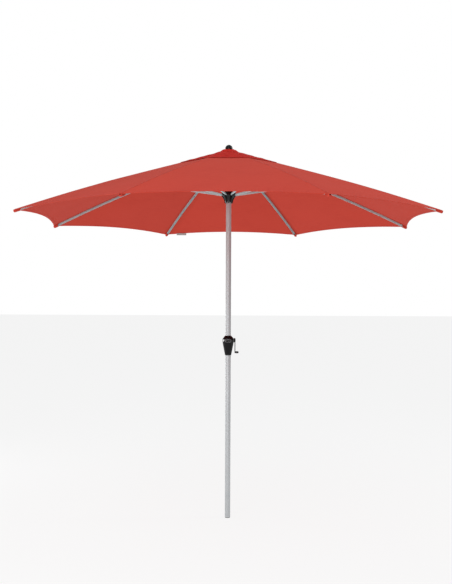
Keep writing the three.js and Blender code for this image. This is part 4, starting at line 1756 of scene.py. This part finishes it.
@dataclass
class Pole:
    """Two tubes, the plug in the foot, the pulley in the head and the lift cord."""

    finishes: Finishes
    wall: float = 1.5 * MM
    tube_sides: int = 96
    crank_z: float = 1.266
    shaft_hole_r: float = 4.6 * MM
    pulley_y: float = 0.015
    pulley_z: float = 2.560
    pulley_r: float = 13.5 * MM
    pulley_half: float = 4 * MM
    pulley_slot_half: float = 5.5 * MM
    pin_r: float = 2 * MM
    pin_hole_r: float = 2.3 * MM
    pin_reach: float = 11 * MM
    cord_r: float = 2 * MM
    cord_on_pulley_r: float = 11 * MM
    cord_on_spool_r: float = 11.8 * MM

    def build(self) -> None:
        """Builds everything from the foot to the head."""
        self.lower()
        self.upper()
        self.foot_plug()
        self.pulley()
        self.inner_cord()
        self.outer_cord()

    def lower(self) -> None:
        """The lower tube, a plain length with softly broken edges."""
        low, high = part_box("pole_lower")
        bore = high.x - self.wall
        outline = fillet([(bore, low.z), (high.x, low.z), (high.x, high.z), (bore, high.z)], 0.5 * MM, 3)
        tube = turned(outline, self.tube_sides, ring=True)
        made = piece("pole_lower_tube", tube, self.finishes.pole)
        settle(made, "pole", Slot.ALUMINIUM, "pole_lower")

    def upper(self) -> None:
        """The upper tube, with its spigot, shaft holes, pulley slot and pin holes."""
        low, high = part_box("pole_upper")
        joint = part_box("pole_lower")[1].z + GAP
        outer, bore = high.x, high.x - self.wall
        spigot = bore - GAP
        side = fillet([(outer, joint), (outer, high.z), (bore, high.z), (bore, joint)], 0.5 * MM, 3, False)
        outline = [(spigot - self.wall, low.z), (spigot, low.z), (spigot, joint), (outer, joint),
                   *side[1:-1], (bore, joint + 6 * MM), (spigot - self.wall, joint + 4 * MM)]
        made = piece("pole_upper_tube", turned(outline, self.tube_sides, ring=True), self.finishes.pole)
        half_height = self.pulley_r + 2.5 * MM
        shaft = self.rod_x(self.shaft_hole_r, 30 * MM, 0, self.crank_z)
        slot = block((-self.pulley_slot_half, 8 * MM, self.pulley_z - half_height),
                     (self.pulley_slot_half, 30 * MM, self.pulley_z + half_height))
        pin = self.rod_x(self.pin_hole_r, 25 * MM, self.pulley_y, self.pulley_z)
        tools = [piece(f"tool_{k}", tool, self.finishes.pole) for k, tool in enumerate((shaft, slot, pin))]
        boolean(made, "DIFFERENCE", *tools)
        settle(smoothed(made), "pole", Slot.ALUMINIUM, "pole_upper")

    def rod_x(self, radius: float, reach: float, y: float, z: float) -> Solid:
        """A round bar along X."""
        return about_x([(0, -reach), (radius, -reach), (radius, reach), (0, reach)], y, z, 32, False)

    def foot_plug(self) -> None:
        """The plug that closes the foot, with a rim under the tube's end."""
        low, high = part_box("foot_plug")
        fit_r, rim_z = 17.1 * MM, 3 * MM
        side = fillet([(17 * MM, low.z), (high.x, low.z + 1.5 * MM), (high.x, rim_z), (fit_r, rim_z),
                       (fit_r, high.z - 1 * MM)], 0.5 * MM, 3, False)
        outline = [(0, low.z), *side, (14 * MM, high.z), (0, high.z)]
        made = piece("foot_plug_moulding", turned(outline, 72), self.finishes.black)
        settle(made, "pole", Slot.BLACK, "foot_plug")

    def pulley(self) -> None:
        """The grooved wheel and its pin."""
        groove = self.cord_on_pulley_r - self.cord_r - GAP
        rim, half, bore = self.pulley_r, self.pulley_half, self.pin_r + GAP
        outline = fillet([(bore, -half), (rim, -half), (rim, 1 * MM - half), (groove, -2.2 * MM),
                          (groove, 2.2 * MM), (rim, half - 1 * MM), (rim, half), (bore, half)], 0.6 * MM, 3)
        wheel = piece("pulley_wheel", about_x(outline, self.pulley_y, self.pulley_z), self.finishes.black)
        settle(wheel, "pulley", Slot.BLACK, "pulley")
        reach = self.pin_reach
        side = fillet([(self.pin_r, -reach), (self.pin_r, reach)], 0.4 * MM, 3, False)
        axle = about_x([(0, -reach), *side, (0, reach)], self.pulley_y, self.pulley_z, 32, False)
        settle(piece("pulley_axle", axle, self.finishes.steel), "pole", Slot.STEEL, "pulley_pin")

    def cord(self, name: str, path: np.ndarray) -> bpy.types.Object:
        """A round cord along a path in the plane x = 0.

        Args:
            name: The piece's name.
            path: Points of y and z.

        Returns:
            The piece.
        """
        along = np.gradient(path, axis=0)
        along /= np.linalg.norm(along, axis=1)[:, None]
        steps = np.concatenate([[0], np.cumsum(np.linalg.norm(np.diff(path, axis=0), axis=1))])
        angles = [math.tau * k / 12 for k in range(12)]
        ring = [(self.cord_r * math.cos(a), self.cord_r * math.sin(a)) for a in angles]
        sections = []
        uv = []
        for (y, z), (ty, tz), s in zip(path, along, steps):
            sections.append([(x, y - tz * out, z + ty * out) for x, out in ring])
            uv.extend((self.cord_r * a, s) for a in angles)
        return piece(name, sweep(sections), self.finishes.cord, np.array(uv))

    def inner_cord(self) -> None:
        """The cord inside the pole, up from the spool and over the pulley."""
        radius = self.cord_on_pulley_r
        rise = np.stack([np.linspace(self.cord_on_spool_r, self.pulley_y - radius, 60),
                         np.linspace(self.crank_z, self.pulley_z, 60)], axis=-1)
        angles = np.linspace(math.pi, 0, 16)[1:]
        over = np.stack([self.pulley_y + radius * np.cos(angles),
                         self.pulley_z + radius * np.sin(angles)], axis=-1)
        made = self.cord("lift_cord_in_pole", np.concatenate([rise, over]))
        settle(made, "pole", Slot.CORD, "lift_cord_inner")

    def outer_cord(self) -> None:
        """The cord outside the pole, from the pulley down to the runner."""
        low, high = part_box("lift_cord_outer")
        y = self.pulley_y + self.cord_on_pulley_r
        path = np.stack([np.full(80, y), np.linspace(high.z, low.z, 80)], axis=-1)
        made = self.cord("lift_cord_to_runner", path)
        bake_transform(made)
        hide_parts("lift_cord_outer")
        log.info("%s bends between pole and runner", made.name)


# ---- Crank ----


@dataclass(frozen=True)
class Level:
    """The housing's section at one height, with its corners cut off."""

    z: float
    half_width: float
    half_depth: float
    face: float  # half the width of its flat front and back


@dataclass
class CrankDrive:
    """The housing on the pole with its crank, spool, arm and grip."""

    finishes: Finishes
    screws: ScrewSet
    crank_z: float = 1.266
    arm_length: float = 0.086
    foot: Level = Level(1.159, 0.0220, 0.0220, 0.0085)
    belly: Level = Level(1.250, 0.0395, 0.0360, 0.0240)
    shoulder: Level = Level(1.277, 0.0395, 0.0360, 0.0240)
    head: Level = Level(1.299, 0.0215, 0.0215, 0.0090)
    side_share: float = 0.42  # how deep the housing's flat sides are, as a share of its depth
    pole_clear: float = 19.3 * MM
    parting: float = 0.15 * MM  # half the gap between the two shells
    shell_crease: float = 26.0  # edges of the housing sharper than this, in degrees, stay crisp
    shaft_r: float = 4 * MM
    shaft_hole_r: float = 4.6 * MM
    on_shaft_r: float = 4.3 * MM  # the bore of what sits on the shaft
    shaft_end_x: float = 49.6 * MM
    pin_r: float = 2.9 * MM
    on_pin_r: float = 3.3 * MM  # the bore of what sits on the grip's pin

    def build(self) -> None:
        """Builds the housing and all that turns in it."""
        self.shell(-1, "housing_front_shell", "housing_front")
        self.shell(1, "housing_back_shell", "housing_back")
        self.bezel()
        self.housing_screws()
        self.shaft_and_spool()
        self.arm()
        self.grip()

    def hull(self) -> bpy.types.Object:
        """The housing's outer body with rounded edges.

        Returns:
            The body, without a material slot for the record.
        """
        shape = bmesh.new()
        for level in (self.foot, self.belly, self.shoulder, self.head):
            side_depth = self.side_share * level.half_depth
            for x in (-1, 1):
                for y in (-1, 1):
                    shape.verts.new((x * level.face, y * level.half_depth, level.z))
                    shape.verts.new((x * level.half_width, y * side_depth, level.z))
        bmesh.ops.convex_hull(shape, input=shape.verts)
        bmesh.ops.dissolve_limit(shape, angle_limit=math.radians(1), verts=shape.verts, edges=shape.edges)
        mesh = bpy.data.meshes.new("hull")
        shape.to_mesh(mesh)
        shape.free()
        mesh.materials.append(self.finishes.housing)
        made = bpy.data.objects.new("hull", mesh)
        bpy.context.scene.collection.objects.link(made)
        return bevelled(made, 3.2 * MM, 5, 12)

    def shell(self, side: int, name: str, node: str) -> None:
        """One half of the housing.

        Args:
            side: -1 for the front, 1 for the back.
            name: The piece's name.
            node: The node that it stands for.
        """
        made = self.hull()
        made.name = name
        reach = 0.1
        below, above = self.crank_z - 2 * reach, self.crank_z + reach
        near, far = sorted((side * self.parting, side * reach))
        half = block((-reach, near, below), (reach, far, above))
        boolean(made, "INTERSECT", piece("half", half, self.finishes.housing))
        clear, hole = self.pole_clear, self.shaft_hole_r
        low, high = self.belly.z, self.shoulder.z
        bore = turned([(0, below), (clear, below), (clear, above), (0, above)], 96)
        cavity = turned([(0, low - 2.5 * MM), (30 * MM, low + 2 * MM), (30 * MM, high + 1 * MM),
                         (0, high + 10 * MM)], 64)
        shaft = about_x([(0, -36 * MM), (hole, -36 * MM), (hole, 60 * MM), (0, 60 * MM)],
                        0, self.crank_z, 32, False)
        tools = (bore, cavity, shaft)
        boolean(made, "DIFFERENCE", *(piece(f"tool_{k}", tool, self.finishes.housing)
                                      for k, tool in enumerate(tools)))
        settle(smoothed(made, self.shell_crease), "pole", Slot.BLACK, node)

    def stadium(self, half_width: float, half_height: float, steps: int = 14) -> list:
        """A flat outline with two straight sides and round ends.

        Args:
            half_width: Half its length.
            half_height: The radius of its ends.
            steps: The steps of each end.

        Returns:
            Points of x and z.
        """
        reach = half_width - half_height
        right = arc((reach, 0), half_height, -90, 90, steps)
        left = arc((-reach, 0), half_height, 90, 270, steps)
        return [*right, *left]

    def bezel(self) -> None:
        """The raised ring on the front of the housing and the plain badge plate inside it."""
        middle_z = (self.belly.z + self.shoulder.z) / 2
        face = -self.belly.half_depth
        path = self.stadium(21.5 * MM, 10.2 * MM)
        outer = self.stadium(22.6 * MM, 11.3 * MM)
        inner = self.stadium(20.3 * MM, 9.0 * MM)
        profile = [(0, 0.4), (0.15, -1.0), (0.35, -1.7), (0.65, -1.7), (0.85, -1.0), (1, 0.4)]
        sections = []
        for (ox, oz), (ix, iz) in zip(outer, inner):
            sections.append([(ox + (ix - ox) * t, face + d * MM, middle_z + oz + (iz - oz) * t)
                             for t, d in profile])
        ring = piece("housing_bezel", sweep(sections, loop=True), self.finishes.bezel, crease=50)
        settle(ring, "pole", Slot.BLACK)
        crown = ((0.93, -0.5), (0.93, 0.35), (0.86, 0.6), (0.5, 0.75), (0.1, 0.8))
        plate = [[(x * scale, face - d * MM, middle_z + z * scale) for x, z in path] for scale, d in crown]
        made = piece("housing_badge_plate", sweep(plate), self.finishes.black, crease=50)
        settle(made, "pole", Slot.BLACK)

    def housing_screws(self) -> None:
        """Four screws that hold the shells together, in the back."""
        back, foot_back = self.belly.half_depth, self.foot.half_depth
        top_z, low_z = self.shoulder.z - 5 * MM, self.foot.z + 22 * MM
        share = (low_z - self.foot.z) / (self.belly.z - self.foot.z)
        low_back = foot_back + (back - foot_back) * share
        places = [((x * 19 * MM, back, top_z), (0, 1, 0)) for x in (-1, 1)]
        places += [((x * 8.5 * MM, low_back, low_z), (0, 1, -0.15)) for x in (-1, 1)]
        made = self.screws.make("housing_screws", points_mesh(places), self.finishes.steel,
                                Width=7 * MM, Height=2.6 * MM)
        settle(made, "pole", Slot.STEEL)

    def shaft_and_spool(self) -> None:
        """The shaft through the pole, and the bare spool on it."""
        radius, start, end = self.shaft_r, -35 * MM, self.shaft_end_x
        side = fillet([(radius, start), (radius, end)], 0.6 * MM, 3, False)
        bar = about_x([(0, start), *side, (0, end)], 0, self.crank_z, 40, False)
        settle(piece("crank_shaft_bar", bar, self.finishes.steel), "crank", Slot.STEEL, "crank_shaft")
        bore, drum, flange = self.on_shaft_r, 9.4 * MM, 14 * MM
        inside, outside = 7.5 * MM, 9 * MM
        outline = fillet([(bore, -outside), (flange, -outside), (flange, -inside), (drum, -inside),
                          (drum, inside), (flange, inside), (flange, outside), (bore, outside)], GAP, 2)
        spool = piece("cord_spool", about_x(outline, 0, self.crank_z), self.finishes.black)
        settle(spool, "crank", Slot.BLACK, "spool")

    def arm(self) -> None:
        """The boss with its grip flutes, and the tapered arm."""
        grip_z = self.crank_z - self.arm_length
        seat = self.shaft_end_x + 0.3 * MM
        boss = fillet([(self.on_shaft_r, seat), (self.on_shaft_r, 40.2 * MM), (15 * MM, 40.2 * MM),
                       (16 * MM, 43 * MM), (14.5 * MM, 50 * MM), (9 * MM, 53 * MM)], 1.2 * MM, 3, False)
        knob = about_x([(0, seat), *boss, (0, 53 * MM)], 0, self.crank_z, 72, False)
        made = piece("crank_arm_moulding", knob, self.finishes.black)
        plate = [*arc((0, grip_z), 6 * MM, 0, -180, 16),
                 *arc((0, self.crank_z - 4 * MM), 9 * MM, 180, 0, 16)]
        sides = [[(x, y, z) for y, z in plate] for x in (45.8 * MM, 51.6 * MM)]
        bar = bevelled(piece("bar", sweep(sides), self.finishes.black), 1.1 * MM, 3)
        boolean(made, "UNION", bar)
        hole = about_x([(0, 42 * MM), (self.on_pin_r, 42 * MM), (self.on_pin_r, 56 * MM), (0, 56 * MM)],
                       0, grip_z, 32, False)
        boolean(made, "DIFFERENCE", piece("tool", hole, self.finishes.black))
        settle(smoothed(made), "crank", Slot.BLACK, "crank_arm")

    def grip(self) -> None:
        """The grip, which spins on its pin."""
        z = self.crank_z - self.arm_length
        bore, start, end = self.on_pin_r, 52 * MM, 73.4 * MM
        body = fillet([(bore, start), (6.2 * MM, start), (7.2 * MM, 54 * MM), (7.6 * MM, 63 * MM),
                       (7 * MM, 72 * MM), (6 * MM, end), (bore, end)], 1.0 * MM, 3)
        made = piece("crank_grip_sleeve", about_x(body, 0, z, 48), self.finishes.black)
        settle(made, "grip", Slot.BLACK, "crank_grip")
        foot, collar, tip = 46.6 * MM, end + GAP, 75.2 * MM
        side = fillet([(self.pin_r, foot), (self.pin_r, collar), (5 * MM, collar), (4.4 * MM, tip)],
                      0.4 * MM, 3, False)
        pin = about_x([(0, foot), *side, (0, tip)], 0, z, 40, False)
        settle(piece("grip_pin_rivet", pin, self.finishes.steel), "crank", Slot.STEEL, "grip_pin")


# ---- Studio ----


@dataclass(frozen=True)
class Viewpoint:
    """Where the camera stands and how it looks."""

    distance: float = 5.837
    height: float = 1.5485
    turn: float = 0.0154
    roll: float = 0.0040
    lens: float = 50.34
    shift_x: float = -0.00397
    shift_y: float = 0.01483

    def place(self) -> None:
        """Makes the scene's camera."""
        data = bpy.data.cameras.new("camera")
        data.lens = self.lens
        data.sensor_width = 36
        data.shift_x = self.shift_x
        data.shift_y = self.shift_y
        camera = bpy.data.objects.new("camera", data)
        bpy.context.scene.collection.objects.link(camera)
        level = Matrix.Rotation(self.turn, 4, "Z") @ Matrix.Rotation(math.pi / 2, 4, "X")
        place = (self.distance * math.sin(self.turn), -self.distance * math.cos(self.turn), self.height)
        camera.matrix_world = Matrix.Translation(place) @ level @ Matrix.Rotation(self.roll, 4, "Z")
        bpy.context.scene.camera = camera


@dataclass(frozen=True)
class Softbox:
    """One soft square light."""

    name: str
    place: tuple
    aim: tuple
    size: float
    power: float

    def switch_on(self) -> None:
        """Makes the light."""
        data = bpy.data.lights.new(self.name, "AREA")
        data.size = self.size
        data.energy = self.power
        light = bpy.data.objects.new(self.name, data)
        bpy.context.scene.collection.objects.link(light)
        light.location = self.place
        light.rotation_euler = (Vector(self.aim) - Vector(self.place)).to_track_quat("-Z", "Y").to_euler()


@dataclass
class Studio:
    """The pale floor, the white surroundings and the lights."""

    floor_half: float = 80.0
    overhead: float = 0.95  # brightness of the surroundings from above
    bright_side: float = 0.72  # and at eye level, on the side of the key light
    dark_side: float = 0.1  # and on the side away from it
    key_direction: tuple = (-0.53, -0.848, 0.0)

    def build(self) -> None:
        """Sets up the floor and the light."""
        bpy.context.scene.view_settings.view_transform = "Standard"
        self.floor()
        self.world()
        Softbox("key_light", (-3.6, -2.3, 1.9), (0, 0, 1.5), 1.9, 10).switch_on()
        Softbox("front_light", (-1.0, -4.6, 5.6), (0, 0, 2.3), 4.5, 90).switch_on()
        Softbox("side_light", (4.6, 0.4, 4.4), (0, 0, 2.4), 0.9, 76).switch_on()
        Softbox("low_light", (-1.6, -5.0, 1.6), (0, 0, 1.6), 2.2, 66).switch_on()
        Softbox("glint_light", (-4.0, 1.25, 1.1), (0, 0, 1.26), 0.5, 34).switch_on()

    def floor(self) -> None:
        """A plain pale floor, softly lit from within."""
        half = self.floor_half
        mesh = bpy.data.meshes.new("floor")
        corners = [(-half, -half, 0), (half, -half, 0), (half, half, 0), (-half, half, 0)]
        mesh.from_pydata(corners, [], [(0, 1, 2, 3)])
        paint = Paint("floor_paint")
        paint.set(Base_Color=(0.12, 0.12, 0.12, 1), Roughness=0.9, Specular_IOR_Level=0.0)
        paint.set(Emission_Color=(1, 1, 1, 1), Emission_Strength=0.82)
        mesh.materials.append(paint.material)
        floor = bpy.data.objects.new("floor", mesh)
        bpy.context.scene.collection.objects.link(floor)

    def world(self) -> None:
        """White surroundings, bright above and darker at eye level away from the key light."""
        world = bpy.data.worlds.new("studio")
        bpy.context.scene.world = world
        world.use_nodes = True
        tree = world.node_tree
        tree.nodes.clear()
        out = tree.nodes.new("ShaderNodeOutputWorld")
        mix = tree.nodes.new("ShaderNodeMixShader")
        path = tree.nodes.new("ShaderNodeLightPath")
        backdrop = tree.nodes.new("ShaderNodeBackground")
        backdrop.inputs["Color"].default_value = (1, 1, 1, 1)
        around = tree.nodes.new("ShaderNodeBackground")
        tree.links.new(self.brightness(tree), around.inputs["Strength"])
        tree.links.new(path.outputs["Is Camera Ray"], mix.inputs["Fac"])
        tree.links.new(around.outputs[0], mix.inputs[1])
        tree.links.new(backdrop.outputs[0], mix.inputs[2])
        tree.links.new(mix.outputs[0], out.inputs["Surface"])

    def brightness(self, tree: bpy.types.NodeTree) -> bpy.types.NodeSocket:
        """Adds the nodes for the surroundings' brightness by direction.

        Args:
            tree: The world's node tree.

        Returns:
            The socket that gives the brightness.
        """
        place = tree.nodes.new("ShaderNodeTexCoord")
        towards = tree.nodes.new("ShaderNodeVectorMath")
        towards.operation = "DOT_PRODUCT"
        towards.inputs[1].default_value = self.key_direction
        axes = tree.nodes.new("ShaderNodeSeparateXYZ")
        level = tree.nodes.new("ShaderNodeMapRange")
        square = tree.nodes.new("ShaderNodeMath")
        side = tree.nodes.new("ShaderNodeMapRange")
        height = tree.nodes.new("ShaderNodeMapRange")
        blend = tree.nodes.new("ShaderNodeMix")
        level.inputs["From Min"].default_value = -0.59
        square.operation = "POWER"
        square.inputs[1].default_value = 2.0
        side.inputs["To Min"].default_value = self.dark_side
        side.inputs["To Max"].default_value = self.bright_side
        height.inputs["From Min"].default_value = 0.15
        height.inputs["From Max"].default_value = 0.6
        blend.inputs["B"].default_value = self.overhead
        tree.links.new(place.outputs["Generated"], towards.inputs[0])
        tree.links.new(place.outputs["Generated"], axes.inputs[0])
        tree.links.new(towards.outputs["Value"], level.inputs["Value"])
        tree.links.new(level.outputs["Result"], square.inputs[0])
        tree.links.new(square.outputs[0], side.inputs["Value"])
        tree.links.new(axes.outputs["Z"], height.inputs["Value"])
        tree.links.new(height.outputs["Result"], blend.inputs["Factor"])
        tree.links.new(side.outputs["Result"], blend.inputs["A"])
        return blend.outputs["Result"]


def main() -> None:
    """Builds the whole parasol in order and reports each piece."""
    logging.basicConfig(level=logging.INFO, format="%(name)s: %(message)s")
    Viewpoint().place()
    finishes = Finishes()
    stitches, rivets, screws = StitchRow(), RivetSet(), ScrewSet()
    Canopy(finishes, stitches).build()
    ClosingStrap(finishes).build()
    Crown(finishes).build()
    FoldingFrame(finishes, rivets).build()
    TopHub(finishes).build()
    Runner(finishes).build()
    Pole(finishes).build()
    CrankDrive(finishes, screws).build()
    Studio().build()


if __name__ == "__main__":
    main()
